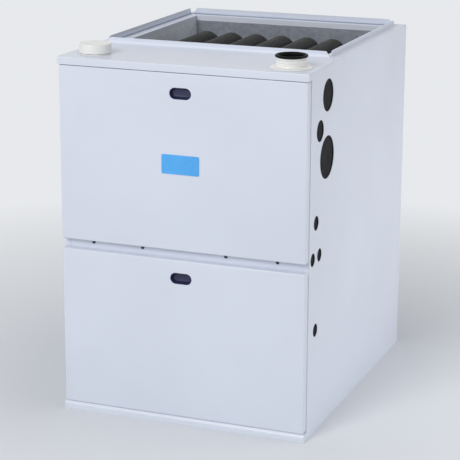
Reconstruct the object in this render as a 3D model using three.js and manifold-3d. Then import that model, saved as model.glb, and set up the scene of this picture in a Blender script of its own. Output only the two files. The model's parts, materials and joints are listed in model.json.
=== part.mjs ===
// Forced air gas furnace, upflow, two doors, side-by-side vent and intake collars on top.
// Millimetres. +Z up, the front looks along -Y, the origin is on the floor under the middle of the casing.

import * as THREE from 'three';
import { mergeVertices } from 'three/addons/utils/BufferGeometryUtils.js';
import Module from 'manifold-3d';

const wasm = await Module();
wasm.setup();

// ---------------------------------------------------------------- driving dimensions

// Casing
const width = 622;             // across the side panels
const depth = 790;             // front of the lip to the rear panel
const height = 876;            // floor to the top of the casing
const sheet = 1.5;             // sheet steel
const gap = 0.3;               // clearance between pieces that touch
const lipReach = 2;            // lip and base rail stand proud of the doors
const lipDrop = 18;            // height of the lip above the upper door
const lipRound = 2;
const stileWidth = 14;         // front returns of the side panels
const rearReturn = 20;         // rear returns of the side panels

// Doors
const doorDepth = 20;          // door face to the front of the casing
const doorInset = 2;           // door edge to casing side
const doorHem = 10;            // flange turned in along the rear edge of a door
const seam = 1;                // slot between a door and the lip or the base rail
const lowerDoorTop = 412;
const doorSpacing = 23;        // between the two doors

// Finger pulls and the plain plate
const pullWidth = 54;
const pullHeight = 27;
const pullDepth = 14;
const pullWall = 2;
const pullFlange = 4;          // rim behind the door sheet
const pullSegments = 6;
const upperPullDrop = 67;       // finger pull below the casing top
const lowerPullDrop = 45;       // finger pull below the top of the lower door
const plateWidth = 94;
const plateHeight = 46;
const plateThickness = 1.2;
const plateCentre = 642;

// Base rail
const baseRailHeight = 19.5;
const baseFlange = 25;

// Supply air outlet
const flangeHeight = 15;       // duct flanges above the casing top
const flangeInset = 24;        // duct flanges to the casing side and rear
const outletFront = 222;       // front of the casing to the front duct flange
const flangeNotch = 4;         // relief at each flange corner
const flangeSlant = 10;        // each flange end leans in by this much over its height
const ledgeWidth = 23;         // liner ledge inside the flanges

// Blower deck
const deckHeight = 411;        // underside of the deck
const deckRail = 22;           // upturned front edge that shows between the doors
const railGap = 3;             // rail end to stile
const railScrewSpots = [-234, -106, 106, 234];
const railScrewHeight = 428;
const railScrewRadius = 4.2;   // washer face of a rail screw

// Vent and intake
const collarOffset = 245;      // from the middle, to both sides
const collarSetback = 70;      // from the front of the casing
const pipeRadius = 30;
const pipeWall = 4;
const collarWall = 5;
const ventCollarRim = 15;      // flange of a collar beyond its wall
const intakeCollarRim = 2.5;
const ventCollarHeight = 30;
const intakeCollarHeight = 22;
const collarLip = 3;           // radius of the rolled lip of the vent collar
const capThickness = 3;

// Heat exchanger
const tubeCount = 6;
const tubePitch = 69;
const tubeRadius = 29;
const tubeWall = 1.6;
const tubeDrop = 17;           // casing top to the crown of the top pass
const passDrop = 84;           // between two passes
const rearBendSetback = 205;   // start of the rear bend to the rear panel
const frontBendReach = 72.2;   // vestibule panel to the start of the front bend
const headerSetback = 180;     // header to the rear panel
const headerDepth = 70;
const coilWidth = 410;
const coilDrop = 62;           // middle of the lowest pass to the top of the coil
const coilHeight = 120;
const coilRowSpread = 26;      // tube rows above and below the middle of the coil
const coilColumns = 5;
const coilTubeRadius = 8;

// Burners
const boxHalfWidth = 200;
const boxDepth = 174.5;
const boxHeight = 94;
const boxDrop = 10;            // casing top to the top of the box
const burnerRadius = 13;
const manifoldRadius = 10.5;
const manifoldReach = 58;      // front of the box to the manifold

// Inducer
const inducerX = 140;
const inducerDrop = 40;        // top of the coil to the wheel centre
const inducerDepth = 52;
const inducerSmall = 64;       // scroll radius at the cut-off
const inducerLarge = 84;       // scroll radius at the outlet
const inducerWheelRadius = 56;
const inducerWheelWidth = 28;

// Blower
const blowerSetback = 375;     // wheel centre to the rear panel
const blowerZ = 200;
const blowerWidth = 290;
const scrollSmall = 138;
const scrollLarge = 190;
const blowerWheelRadius = 127;
const blowerWheelWidth = 250;
const bladeCount = 20;
const bladeDepth = 18;
const shaftRadius = 6.35;
const inletRadius = 112;
const motorRadius = 68;

// Round holes of the right side panel: behind the front edge of the panel, above the floor, diameter
const sideHoles = [
  { setback: 118, z: 805, diameter: 76.2 },
  { setback: 64, z: 731, diameter: 50.8 },
  { setback: 117, z: 659, diameter: 101.6 },
  { setback: 46, z: 518, diameter: 34.9 },
  { setback: 25, z: 435, diameter: 31.8 },
  { setback: 73, z: 435, diameter: 31.8 },
  { setback: 51, z: 257, diameter: 31.8 },
];
const plugRim = 4;
const plugThickness = 1.4;
const holeSides = 20;

// ---------------------------------------------------------------- derived places

const side = width / 2;
const frontFace = -depth / 2;
const rearFace = depth / 2;
const doorFace = frontFace + lipReach;
const caseFront = doorFace + doorDepth;
const inner = side - sheet - gap;              // what fits between the side panels
const plateTop = height - sheet - gap;         // what fits under a top return
const flangeY = frontFace + outletFront;
const rearFlangeY = rearFace - flangeInset;
const flangeX = side - flangeInset;
const flangeTop = height + flangeHeight;
const vestibuleY = flangeY + sheet + gap + 1;  // front of the vestibule panel
const plenumFront = vestibuleY + sheet + gap;
const linerX = flangeX - sheet - ledgeWidth;
const linerRearY = rearFlangeY - sheet - ledgeWidth;
const deckTop = deckHeight + sheet;
const onDeck = deckTop + gap;
const collarY = frontFace + collarSetback;
const pipeBore = pipeRadius - pipeWall;
const collarRadius = pipeRadius + collarWall;
const collarWallFace = collarRadius - 1;
const socketRadius = pipeRadius + 0.8;
const tubeTop = height - tubeDrop;
const passHeights = [0, 1, 2].map((pass) => tubeTop - tubeRadius - pass * passDrop);
const tubeSpots = [...Array(tubeCount).keys()].map((i) => (i - (tubeCount - 1) / 2) * tubePitch);
const burnerHeight = passHeights[0];
const rearBendStart = rearFace - rearBendSetback;
const frontBendStart = vestibuleY + frontBendReach;
const headerFront = rearFace - headerSetback;
const coilHigh = passHeights[2] - coilDrop;
const coilLow = coilHigh - coilHeight;
const coilRows = [-1, 1].map((row) => (coilLow + coilHigh) / 2 + row * coilRowSpread);
const boxRear = vestibuleY - 15 - gap;
const boxFront = boxRear - boxDepth;
const boxHigh = height - boxDrop;
const boxLow = boxHigh - boxHeight;
const manifoldY = boxFront + manifoldReach;
const inducerZ = coilHigh - inducerDrop;
const blowerY = rearFace - blowerSetback;
const upperPullHeight = height - upperPullDrop;
const lowerPullHeight = lowerDoorTop - lowerPullDrop;
const coldHeaderRear = vestibuleY - gap;
const coldHeaderFront = coldHeaderRear - 47;

// Gas train, condensate and controls
const spudLength = 14;
const burnerInlet = manifoldY + spudLength + 4;
const burnerOutlet = boxRear - 4;
const dropX = -150;
const valveTop = boxLow - 52;
const valveSize = { x: 70, y: 70, z: 80 };
const valveY = manifoldY + 2;
const intakeHeight = boxLow + 40;
const switchX = 100;
const switchZ = boxLow + 48;
const pressureSwitchX = 20;
const trapX = -5;
const drainHeight = coilLow + 8;
const plungerX = 225;
const plungerZ = deckHeight - 21;
const plungerTravel = 6;
const plungerEnd = caseFront + 28;   // inner end of the plunger at rest

// Inducer and blower
const collarStop = height + gap + 5;
const inducerFront = coldHeaderFront - gap - inducerDepth;
const inducerTop = 95;
const outletLeft = inducerX + 24;
const ventStartX = inducerX + inducerLarge - pipeRadius;
const scrollStart = 0.35;      // cut-off angle from straight up, in radians
const scrollOutlet = (small, large) => [-Math.sin(scrollStart) * small, large];
const blowerTop = deckHeight - gap - blowerZ;
const motorFront = -35;
const motorRear = -165;
const mountFace = -blowerWidth / 2 - gap;

// ---------------------------------------------------------------- finishes

const finishes = {
  paint: { color: 0xdfe3ee, roughness: 0.42, metalness: 0.0 },
  galvanised: { color: 0x9aa2ab, roughness: 0.45, metalness: 0.8 },
  aluminised: { color: 0x2e3432, roughness: 0.6, metalness: 0.5 },
  stainless: { color: 0xb8bcc0, roughness: 0.3, metalness: 1.0 },
  aluminium: { color: 0xc5c9cc, roughness: 0.4, metalness: 1.0 },
  blackPlastic: { color: 0x1b1c20, roughness: 0.5, metalness: 0.0 },
  navyPlastic: { color: 0x20244a, roughness: 0.35, metalness: 0.0 },
  whitePvc: { color: 0xf2f1ec, roughness: 0.4, metalness: 0.0 },
  skyPlate: { color: 0x54b4fa, roughness: 0.3, metalness: 0.0 },
  blackPaint: { color: 0x202225, roughness: 0.5, metalness: 0.2 },
  castMetal: { color: 0x8d9296, roughness: 0.5, metalness: 0.9 },
  board: { color: 0x1f6b3a, roughness: 0.5, metalness: 0.0 },
  red: { color: 0xc62a22, roughness: 0.4, metalness: 0.0 },
  ceramic: { color: 0xe8e2d2, roughness: 0.7, metalness: 0.0 },
};

// ---------------------------------------------------------------- solid helpers

function solid(geometry) {
  const bare = geometry.clone();
  bare.deleteAttribute('normal');
  bare.deleteAttribute('uv');
  const merged = mergeVertices(bare, 1e-4);
  return new wasm.Manifold(new wasm.Mesh({
    numProp: 3,
    vertProperties: Float32Array.from(merged.attributes.position.array),
    triVerts: Uint32Array.from(merged.index.array),
  }));
}

function geometryOf(manifold) {
  const mesh = manifold.getMesh();
  const geometry = new THREE.BufferGeometry();
  geometry.setAttribute('position', new THREE.BufferAttribute(mesh.vertProperties, 3));
  geometry.setIndex(new THREE.BufferAttribute(mesh.triVerts, 1));
  geometry.computeVertexNormals();
  return geometry;
}

const join = (...parts) => parts.reduce((a, b) => a.add(b));
const cut = (body, ...tools) => tools.reduce((a, b) => a.subtract(b), body);

// Box between two corners
function block([x0, x1], [y0, y1], [z0, z1]) {
  const box = new THREE.BoxGeometry(x1 - x0, y1 - y0, z1 - z0);
  return solid(box.translate((x0 + x1) / 2, (y0 + y1) / 2, (z0 + z1) / 2));
}

// Span between two distances from the middle, on the left (-1) or the right (+1)
const sideSpan = (sign, a, b) => [Math.min(sign * a, sign * b), Math.max(sign * a, sign * b)];

// Turns a geometry built along +Z to run along another axis
const turns = {
  x: (g) => g.rotateY(Math.PI / 2),
  y: (g) => g.rotateX(-Math.PI / 2),
  z: (g) => g,
};

// Round bar along an axis; centre gives the two other coordinates in X, Y, Z order
function rod(axis, radius, [from, to], centre, sides = 24) {
  const bar = new THREE.CylinderGeometry(radius, radius, to - from, sides);
  turns[axis](bar.rotateX(Math.PI / 2));
  const middle = [...centre];
  middle.splice('xyz'.indexOf(axis), 0, (from + to) / 2);
  return solid(bar.translate(...middle));
}

// Lathe body about +Z from [radius, height] pairs that close on themselves or end on the axis
function turned(profile, sides = 24) {
  const points = profile.map(([r, z]) => new THREE.Vector2(r, z));
  return new THREE.LatheGeometry(points, sides).rotateX(Math.PI / 2);
}

// Ring body: the profile is closed by repeating its first point
const turnedRing = (profile, sides) => turned([...profile, profile[0]], sides);

// Flat outline extruded along X; the outline is in (y, z)
function extrudeX(shape, [x0, x1], curveSegments = 12) {
  const body = new THREE.ExtrudeGeometry(shape, { depth: x1 - x0, bevelEnabled: false, curveSegments });
  const basis = new THREE.Matrix4().makeBasis(
    new THREE.Vector3(0, 1, 0), new THREE.Vector3(0, 0, 1), new THREE.Vector3(1, 0, 0));
  return solid(body.applyMatrix4(basis).translate(x0, 0, 0));
}

// Flat outline extruded along Y; the outline is in (x, z)
function extrudeY(shape, [y0, y1], curveSegments = 12) {
  const body = new THREE.ExtrudeGeometry(shape, { depth: y1 - y0, bevelEnabled: false, curveSegments });
  return solid(body.rotateX(Math.PI / 2).translate(0, y1, 0));
}

// Flat outline extruded along Z; the outline is in (x, y)
function extrudeZ(shape, [z0, z1], curveSegments = 12) {
  const body = new THREE.ExtrudeGeometry(shape, { depth: z1 - z0, bevelEnabled: false, curveSegments });
  return solid(body.translate(0, 0, z0));
}

const polygon = (points) => new THREE.Shape(points.map(([a, b]) => new THREE.Vector2(a, b)));

// Rounded bar outline, centred, with half-round ends
function stadium(w, h, cx = 0, cy = 0) {
  const r = h / 2;
  const reach = w / 2 - r;
  const shape = new THREE.Shape();
  shape.absarc(cx + reach, cy, r, -Math.PI / 2, Math.PI / 2, false);
  shape.absarc(cx - reach, cy, r, Math.PI / 2, Math.PI * 1.5, false);
  shape.closePath();
  return shape;
}

// Rectangle with round corners, centred
function roundedRectangle(w, h, r, cx = 0, cy = 0) {
  const shape = new THREE.Shape();
  shape.absarc(cx + w / 2 - r, cy - h / 2 + r, r, -Math.PI / 2, 0, false);
  shape.absarc(cx + w / 2 - r, cy + h / 2 - r, r, 0, Math.PI / 2, false);
  shape.absarc(cx - w / 2 + r, cy + h / 2 - r, r, Math.PI / 2, Math.PI, false);
  shape.absarc(cx - w / 2 + r, cy - h / 2 + r, r, Math.PI, Math.PI * 1.5, false);
  shape.closePath();
  return shape;
}

// Path through listed stations, stepped station by station
class StationCurve extends THREE.Curve {
  constructor(stations) {
    super();
    this.stations = stations;
  }

  getPoint(t) {
    const last = this.stations.length - 1;
    const place = THREE.MathUtils.clamp(t, 0, 1) * last;
    const i = Math.min(Math.floor(place), last - 1);
    return this.stations[i].clone().lerp(this.stations[i + 1], place - i);
  }

  getUtoTmapping(u) {
    return u;
  }
}

// Round tube with a bore along stations
function tubeAlong(stations, radius, bore, sides, boreSides) {
  const ring = new THREE.Shape(circlePoints(radius, sides));
  if (bore > 0) ring.holes.push(new THREE.Path(circlePoints(bore, boreSides)));
  return new THREE.ExtrudeGeometry(ring, {
    steps: stations.length - 1,
    extrudePath: new StationCurve(stations),
    bevelEnabled: false,
  });
}

function circlePoints(radius, sides) {
  return [...Array(sides).keys()].map((i) => {
    const angle = (i + 0.5) / sides * 2 * Math.PI;
    return new THREE.Vector2(radius * Math.cos(angle), radius * Math.sin(angle));
  });
}

// Stations of an arc in a plane spanned by two unit vectors
function arcStations(centre, radius, from, to, u, v, steps) {
  return [...Array(steps + 1).keys()].map((i) => {
    const angle = from + (to - from) * i / steps;
    return centre.clone()
      .addScaledVector(u, radius * Math.cos(angle))
      .addScaledVector(v, radius * Math.sin(angle));
  });
}

// ---------------------------------------------------------------- assembly

const furnace = new THREE.Group();

function add(name, body, finish, parent = furnace) {
  const geometry = body.isBufferGeometry ? body : geometryOf(body);
  const mesh = new THREE.Mesh(geometry, new THREE.MeshStandardMaterial(finishes[finish]));
  mesh.name = name;
  parent.add(mesh);
  return mesh;
}

const X = new THREE.Vector3(1, 0, 0);
const Y = new THREE.Vector3(0, 1, 0);
const Z = new THREE.Vector3(0, 0, 1);

// ---------------------------------------------------------------- casing panels

// Side panel for one side: sign +1 is the right side, seen from the front
function sidePanel(sign, holes) {
  const outline = polygon([
    [caseFront, 0], [rearFace, 0], [rearFace, height],
    [flangeY + sheet + gap, height], [flangeY + sheet + gap, plateTop], [caseFront, plateTop],
  ]);
  for (const hole of holes) {
    const circle = new THREE.Path();
    circle.absarc(caseFront + hole.setback, hole.z, hole.diameter / 2, 0, 2 * Math.PI, false);
    outline.holes.push(circle);
  }
  const span = (a, b) => sideSpan(sign, a, b);
  const skin = extrudeX(outline, span(side - sheet, side), holeSides / 2);
  const stile = block(span(side - stileWidth, side), [caseFront, caseFront + sheet], [0, plateTop]);
  const rear = rearFace - sheet - gap;
  const rearHem = block(span(side - rearReturn, side), [rear - sheet, rear], [0, plateTop - sheet - gap]);
  const topReturn = block(span(flangeX - sheet, side), [flangeY + sheet + gap, rearFace], [height - sheet, height]);
  const flange = extrudeX(flangeOutline(flangeY + sheet + flangeNotch, rearFlangeY - sheet - flangeNotch),
    span(flangeX - sheet, flangeX));
  return join(skin, stile, rearHem, topReturn, flange);
}

// Upturned flange with slanted ends, between two places along its run
function flangeOutline(from, to) {
  return polygon([
    [from, height - sheet], [to, height - sheet], [to, height],
    [to - flangeSlant, flangeTop], [from + flangeSlant, flangeTop], [from, height],
  ]);
}

function rearPanel() {
  const skin = block([-inner, inner], [rearFace - sheet, rearFace], [0, plateTop]);
  const reach = flangeX - sheet - gap;
  const skinTop = block([-reach, reach], [rearFace - sheet, rearFace], [plateTop - sheet, height]);
  const topReturn = block([-reach, reach], [rearFlangeY - sheet, rearFace], [height - sheet, height]);
  const flange = extrudeY(flangeOutline(-reach + flangeNotch, reach - flangeNotch),
    [rearFlangeY - sheet, rearFlangeY]);
  return join(skin, skinTop, topReturn, flange);
}

function topFrontPanel() {
  const lipLow = height - lipDrop;
  const plateRear = flangeY + sheet;
  const fold = extrudeX(polygon([
    [frontFace, lipLow], [frontFace + sheet, lipLow], [frontFace + sheet, height - sheet],
    [plateRear, height - sheet], [plateRear, height], [frontFace + lipRound, height],
    [frontFace + lipRound * 0.3, height - lipRound * 0.3], [frontFace, height - lipRound],
  ]), [-side, side]);
  const skirts = [-1, 1].map((sign) => block(sideSpan(sign, side - sheet - gap, side - gap),
    [frontFace + sheet / 2, caseFront - gap], [lipLow + gap, height - sheet / 2]));
  const flange = extrudeY(flangeOutline(-flangeX, flangeX), [flangeY, flangeY + sheet]);
  const holes = [-1, 1].map((sign) => rod('z', pipeRadius + 1, [height - 9, height + 9],
    [sign * collarOffset, collarY], 24));
  return cut(join(fold, ...skirts, flange), ...holes);
}

// Pan under the casing with the folded base rail in front
function basePan() {
  const back = caseFront - gap;
  const step = 1;                // crease across the face of the rail
  const crease = 10.5;
  const outer = [
    [frontFace, 0], [frontFace, crease - step], [frontFace + 1.4, crease], [frontFace + 0.4, crease + step],
    [frontFace + 2, baseRailHeight - 3.5], [frontFace + 5.5, baseRailHeight], [back, baseRailHeight],
  ];
  const inside = [
    [caseFront, baseRailHeight - sheet], [frontFace + 6.1, baseRailHeight - sheet],
    [frontFace + 3.4, baseRailHeight - 4.2], [frontFace + 2, crease + step], [frontFace + 3, crease],
    [frontFace + sheet, crease - 1.6 * step], [frontFace + sheet, sheet], [caseFront, sheet],
  ];
  const rail = cut(extrudeX(polygon([...outer, [back, 0]]), [-side, side]),
    extrudeX(polygon(inside), [-side + sheet, side - sheet]));
  const neck = side - stileWidth - gap;
  const tab = block([-neck, neck], [back - 2, caseFront + 4], [0, sheet]);
  const rearEdge = rearFace - 2 * sheet - 2 * gap;
  const tray = block([-inner, inner], [caseFront + sheet + gap, rearEdge], [0, sheet]);
  const flanges = [-1, 1].map((sign) => block(
    sideSpan(sign, inner - sheet, inner), [caseFront + sheet + gap, rearEdge], [0, baseFlange]));
  const rearLip = block([-inner, inner], [rearEdge - sheet, rearEdge], [0, baseFlange]);
  return join(rail, tab, tray, ...flanges, rearLip);
}

// Divider above the blower; its upturned front edge is the rail between the doors
function blowerDeck() {
  const railEnd = side - stileWidth - railGap;
  const plate = block([-inner, inner], [caseFront + sheet + gap, rearFace - 2 * sheet - 2 * gap],
    [deckHeight, deckTop]);
  const tab = block([-railEnd, railEnd], [caseFront, caseFront + 4], [deckHeight, deckTop]);
  const rail = block([-railEnd, railEnd], [caseFront, caseFront + sheet], [deckHeight, deckHeight + deckRail]);
  const [outletFrontY, outletRearY] = scrollOutlet(scrollSmall, scrollLarge).map((y) => y + blowerY);
  const margin = 6;
  const outlet = block([-blowerWidth / 2 + margin, blowerWidth / 2 - margin],
    [outletFrontY + margin, outletRearY - margin], [deckHeight - 5, deckTop + 5]);
  const screwHoles = railScrewSpots.map((x) => rod('y', 2.6, [caseFront - 2, caseFront + 4],
    [x, railScrewHeight], 12));
  return cut(join(plate, tab, rail), outlet, ...screwHoles);
}

// Hexagon-head screw with a washer face, driven along +Y into the rail
function railScrew() {
  const washer = railScrewRadius;
  const hexagon = washer - 1.1;
  const head = turned([
    [0, -3.4], [hexagon, -3.4], [hexagon, -1.2], [washer, -1], [washer, 0], [2.2, 0], [2.2, 7], [0, 9],
  ], 8);
  return head.rotateX(-Math.PI / 2);
}

add('left_side_panel', sidePanel(-1, []), 'paint');
add('right_side_panel', sidePanel(1, sideHoles), 'paint');
add('rear_panel', rearPanel(), 'paint');
add('top_front_panel', topFrontPanel(), 'paint');
add('base_pan', basePan(), 'paint');
add('blower_deck', blowerDeck(), 'paint');
railScrewSpots.forEach((x, i) => {
  add(`rail_screw_${i + 1}`, railScrew(), 'blackPaint').position.set(x, caseFront - gap, railScrewHeight);
});

// Snap-in plugs that close the round holes of the right side panel
function holePlug(radius) {
  const face = radius - gap;
  const rim = radius + plugRim;
  const seat = sheet + gap;
  const recess = 0.6;
  return turned([
    [0, -seat - plugThickness], [rim, -seat - plugThickness], [rim, -seat], [face, -seat],
    [face, -recess], [0, -recess],
  ], holeSides);
}

sideHoles.forEach((hole, i) => {
  const plug = add(`hole_plug_${i + 1}`, turns.x(holePlug(hole.diameter / 2)), 'blackPlastic');
  plug.position.set(side, caseFront + hole.setback, hole.z);
});

// ---------------------------------------------------------------- doors

// Folded door pan: face, four returns and a hem along the rear edge
function doorPan(low, high, pullZ) {
  const half = side - doorInset;
  const rear = caseFront - gap;
  const shell = block([-half, half], [doorFace, rear], [low, high]);
  const hollow = block([-half + sheet, half - sheet], [doorFace + sheet, rear - sheet], [low + sheet, high - sheet]);
  const mouth = block([-half + doorHem, half - doorHem], [doorFace + sheet, rear + 1], [low + doorHem, high - doorHem]);
  const pullHole = extrudeY(stadium(pullWidth, pullHeight), [doorFace - 1, doorFace + sheet + 1], pullSegments);
  return cut(shell, hollow, mouth, pullHole.translate([0, 0, pullZ]));
}

// Finger pull: a blind oval cup with a rim behind the door sheet
function pullCup(pullZ) {
  const face = doorFace + 0.4;
  const rim = doorFace + sheet + gap;
  const body = extrudeY(stadium(pullWidth - 2 * gap, pullHeight - 2 * gap), [face, doorFace + pullDepth], pullSegments);
  const rimRing = extrudeY(stadium(pullWidth + 2 * pullFlange, pullHeight + 2 * pullFlange),
    [rim, rim + sheet], pullSegments);
  const pocket = extrudeY(stadium(pullWidth - 2 * pullWall, pullHeight - 2 * pullWall),
    [face - 1, doorFace + pullDepth - pullWall], pullSegments);
  return cut(join(body, rimRing), pocket).translate([0, 0, pullZ]);
}

const upperDoorLow = lowerDoorTop + doorSpacing;
add('upper_door_panel', doorPan(upperDoorLow, height - lipDrop - seam, upperPullHeight), 'paint');
add('upper_pull_cup', pullCup(upperPullHeight), 'navyPlastic');
add('blank_plate', extrudeY(roundedRectangle(plateWidth, plateHeight, 3, 0, 0),
  [doorFace - gap - plateThickness, doorFace - gap], 4).translate([0, 0, plateCentre]), 'skyPlate');
add('lower_door_panel', doorPan(baseRailHeight + seam + 0.5, lowerDoorTop, lowerPullHeight), 'paint');
add('lower_pull_cup', pullCup(lowerPullHeight), 'navyPlastic');

// ---------------------------------------------------------------- vestibule and plenum

function vestibulePanel() {
  const wall = block([-inner, inner], [vestibuleY, vestibuleY + sheet], [onDeck, plateTop]);
  const foot = block([-inner, inner], [vestibuleY - 15, vestibuleY + sheet], [onDeck, onDeck + sheet]);
  const head = block([-inner, inner], [vestibuleY - 15, vestibuleY + sheet], [plateTop - sheet, plateTop]);
  const inlets = tubeSpots.map((x) => rod('y', tubeRadius + 1, [vestibuleY - 5, vestibuleY + 5],
    [x, passHeights[0]], 16));
  return cut(join(wall, foot, head), ...inlets, ...coilSlots(vestibuleY));
}

// Slots through a sheet at y for the two rows of coil tubes
function coilSlots(y) {
  return coilRows.map((z) => block([-coilWidth / 2 + 20, coilWidth / 2 - 20], [y - 5, y + 5],
    [z - coilTubeRadius, z + coilTubeRadius]));
}

function sideLiner(sign) {
  const span = (a, b) => sideSpan(sign, a, b);
  const run = [plenumFront, rearFace - 2 * sheet - 2 * gap];
  const wall = block(span(linerX, linerX + sheet), [plenumFront, linerRearY - gap], [onDeck, plateTop]);
  const ledge = block(span(linerX, side - 6), run, [plateTop - sheet, plateTop]);
  return join(wall, ledge);
}

function rearLiner() {
  const reach = linerX - gap;
  const wall = block([-linerX, linerX], [linerRearY, linerRearY + sheet], [onDeck, plateTop - sheet - gap]);
  const neck = block([-reach, reach], [linerRearY, linerRearY + sheet], [plateTop - 2 * sheet - gap, plateTop]);
  const ledge = block([-reach, reach], [linerRearY, rearFace - 2 * sheet - 2 * gap], [plateTop - sheet, plateTop]);
  return join(wall, neck, ledge);
}

add('vestibule_panel', vestibulePanel(), 'galvanised');
add('plenum_liner_left', sideLiner(-1), 'paint');
add('plenum_liner_right', sideLiner(1), 'paint');
add('plenum_liner_rear', rearLiner(), 'paint');

// ---------------------------------------------------------------- heat exchanger

// Three-pass tube: front to back, back to front and front to back, dropping at each bend
function tubeStations(x) {
  const bend = passDrop / 2;
  const steps = 5;
  const at = (y, z) => new THREE.Vector3(x, y, z);
  return [
    at(vestibuleY - 2, passHeights[0]),
    ...arcStations(at(rearBendStart, passHeights[0] - bend), bend, Math.PI / 2, -Math.PI / 2, Y, Z, steps),
    ...arcStations(at(frontBendStart, passHeights[1] - bend), bend, Math.PI / 2, 1.5 * Math.PI, Y, Z, steps),
    at(headerFront - gap, passHeights[2]),
  ];
}

tubeSpots.forEach((x, i) => {
  add(`heat_tube_${i + 1}`, tubeAlong(tubeStations(x), tubeRadius, tubeRadius - tubeWall - 1, 12, 6), 'aluminised');
});

// Rear box that gathers the tubes and feeds the secondary coil
function transitionHeader() {
  const low = coilLow - 10;
  const high = passHeights[2] + tubeRadius + 14;
  const half = coilWidth / 2 + 5;
  const wall = 2;
  const shell = block([-half, half], [headerFront, headerFront + headerDepth], [low, high]);
  const hollow = block([-half + wall, half - wall], [headerFront + wall, headerFront + headerDepth - wall],
    [low + wall, high - wall]);
  const inlets = tubeSpots.map((x) => rod('y', tubeRadius - 3, [headerFront - 5, headerFront + 5],
    [x, passHeights[2]], 16));
  return cut(shell, hollow, ...inlets, ...coilSlots(headerFront));
}

// Finned condensing coil: a block of fins between two end plates on rows of round tubes
function secondaryCoil() {
  const half = coilWidth / 2;
  const front = plenumFront;
  const rear = headerFront - gap;
  const bare = 14;               // length of bare tube at each end
  const fins = block([-half + 4, half - 4], [front + bare, rear - bare], [coilLow + 2, coilHigh - 2]);
  const plates = [[front, front + 2.5], [rear - 2.5, rear]].map(
    (span) => block([-half, half], span, [coilLow, coilHigh]));
  const columns = [...Array(coilColumns).keys()].map(
    (i) => (i - (coilColumns - 1) / 2) * (coilWidth - 60) / (coilColumns - 1));
  const tubes = coilRows.flatMap((z) => columns.map(
    (x) => rod('y', coilTubeRadius, [front + 1, rear - 1], [x, z], 8)));
  return join(fins, ...plates, ...tubes);
}

// Front box that gathers the flue gas and condensate and carries the inducer
function coldHeader() {
  const half = coilWidth / 2;
  const wall = 3;
  const [low, high] = [coilLow - 2, coilHigh + 8];
  const shell = block([-half, half], [coldHeaderFront, coldHeaderRear], [low, high]);
  const hollow = block([-half + wall, half - wall], [coldHeaderFront + wall, coldHeaderRear + 1],
    [low + wall, high - wall]);
  const inlet = rod('y', 30, [coldHeaderFront - 5, coldHeaderFront + 5], [inducerX, inducerZ], 20);
  const drain = rod('y', 6, [coldHeaderFront - 5, coldHeaderFront + 5], [trapX, drainHeight], 12);
  return cut(shell, hollow, inlet, drain);
}

add('transition_header', transitionHeader(), 'stainless');
add('secondary_coil', secondaryCoil(), 'aluminium');
add('cold_header', coldHeader(), 'blackPlastic');

// ---------------------------------------------------------------- burners and gas train

function burnerBox() {
  const wall = sheet;
  const rear = boxRear;
  const shell = block([-boxHalfWidth, boxHalfWidth], [boxFront, rear], [boxLow, boxHigh]);
  const hollow = block([-boxHalfWidth + wall, boxHalfWidth - wall], [boxFront + wall, rear + 1],
    [boxLow + wall, boxHigh - wall]);
  const intake = rod('x', pipeBore, [-boxHalfWidth - 5, -boxHalfWidth + 5], [collarY, intakeHeight], 20);
  const drop = rod('z', manifoldRadius + gap, [boxLow - 5, boxLow + 5], [dropX, manifoldY], 16);
  return cut(shell, hollow, intake, drop);
}

// Six venturi burners on one crossover bar
function burnerRack() {
  const length = burnerOutlet - burnerInlet;
  const throat = burnerRadius * 0.6;
  const profile = [
    [burnerRadius + 2, 0], [throat + 1.2, length * 0.3], [burnerRadius, length],
    [burnerRadius - 1.6, length], [throat - 0.4, length * 0.3], [burnerRadius + 0.4, 0],
  ];
  const burners = tubeSpots.map((x) => solid(turns.y(turnedRing(profile, 10)))
    .translate([x, burnerInlet, burnerHeight]));
  const barY = burnerInlet + length * 0.75;
  const bar = block([-boxHalfWidth + sheet + gap, boxHalfWidth - sheet - gap], [barY, barY + 3],
    [burnerHeight - 8, burnerHeight + 8]);
  const bores = tubeSpots.map((x) => rod('y', throat + 1, [barY - 2, barY + 5], [x, burnerHeight], 10));
  return join(cut(bar, ...bores), ...burners);
}

// Gas manifold: bar with one orifice spud per burner and a drop leg to the valve
function gasManifold() {
  const reach = tubeSpots[tubeCount - 1] + 16;
  const bar = rod('x', manifoldRadius, [-reach, reach], [manifoldY, burnerHeight], 14);
  const leg = rod('z', manifoldRadius, [valveTop + gap, burnerHeight], [dropX, manifoldY], 14);
  const spuds = tubeSpots.map((x) => rod('y', 6, [manifoldY, manifoldY + spudLength], [x, burnerHeight], 6));
  return join(bar, leg, ...spuds);
}

function gasValve() {
  const body = block([dropX - valveSize.x / 2, dropX + valveSize.x / 2],
    [valveY - valveSize.y / 2, valveY + valveSize.y / 2], [valveTop - valveSize.z, valveTop]);
  const inlet = rod('x', 16, [dropX - valveSize.x / 2 - 26, dropX], [valveY, valveTop - 45], 8);
  const coil = rod('y', 15, [valveY - valveSize.y / 2 - 10, valveY], [dropX + 15, valveTop - 60], 16);
  const stem = rod('y', 4.3, [valveY - valveSize.y / 2 - 1, valveY - valveSize.y / 2 + 12],
    [dropX - 10, valveTop - 22], 12);
  const bracket = block([dropX - 12, dropX + 12], [valveY, vestibuleY - gap], [valveTop - 60, valveTop - 57]);
  return cut(join(body, inlet, coil, bracket), stem);
}

// On-off knob of the gas valve, with a pointer bar across its face
function valveKnob() {
  const skirt = solid(turned([[0, 0], [14, 0], [13, 8], [0, 8]], 20));
  const stem = solid(turned([[0, -9], [4, -9], [4, 1], [0, 1]], 12));
  const pointer = block([-3, 3], [-13, 13], [7, 14]);
  return geometryOf(join(skirt, stem, pointer)).rotateX(Math.PI / 2);
}

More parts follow.
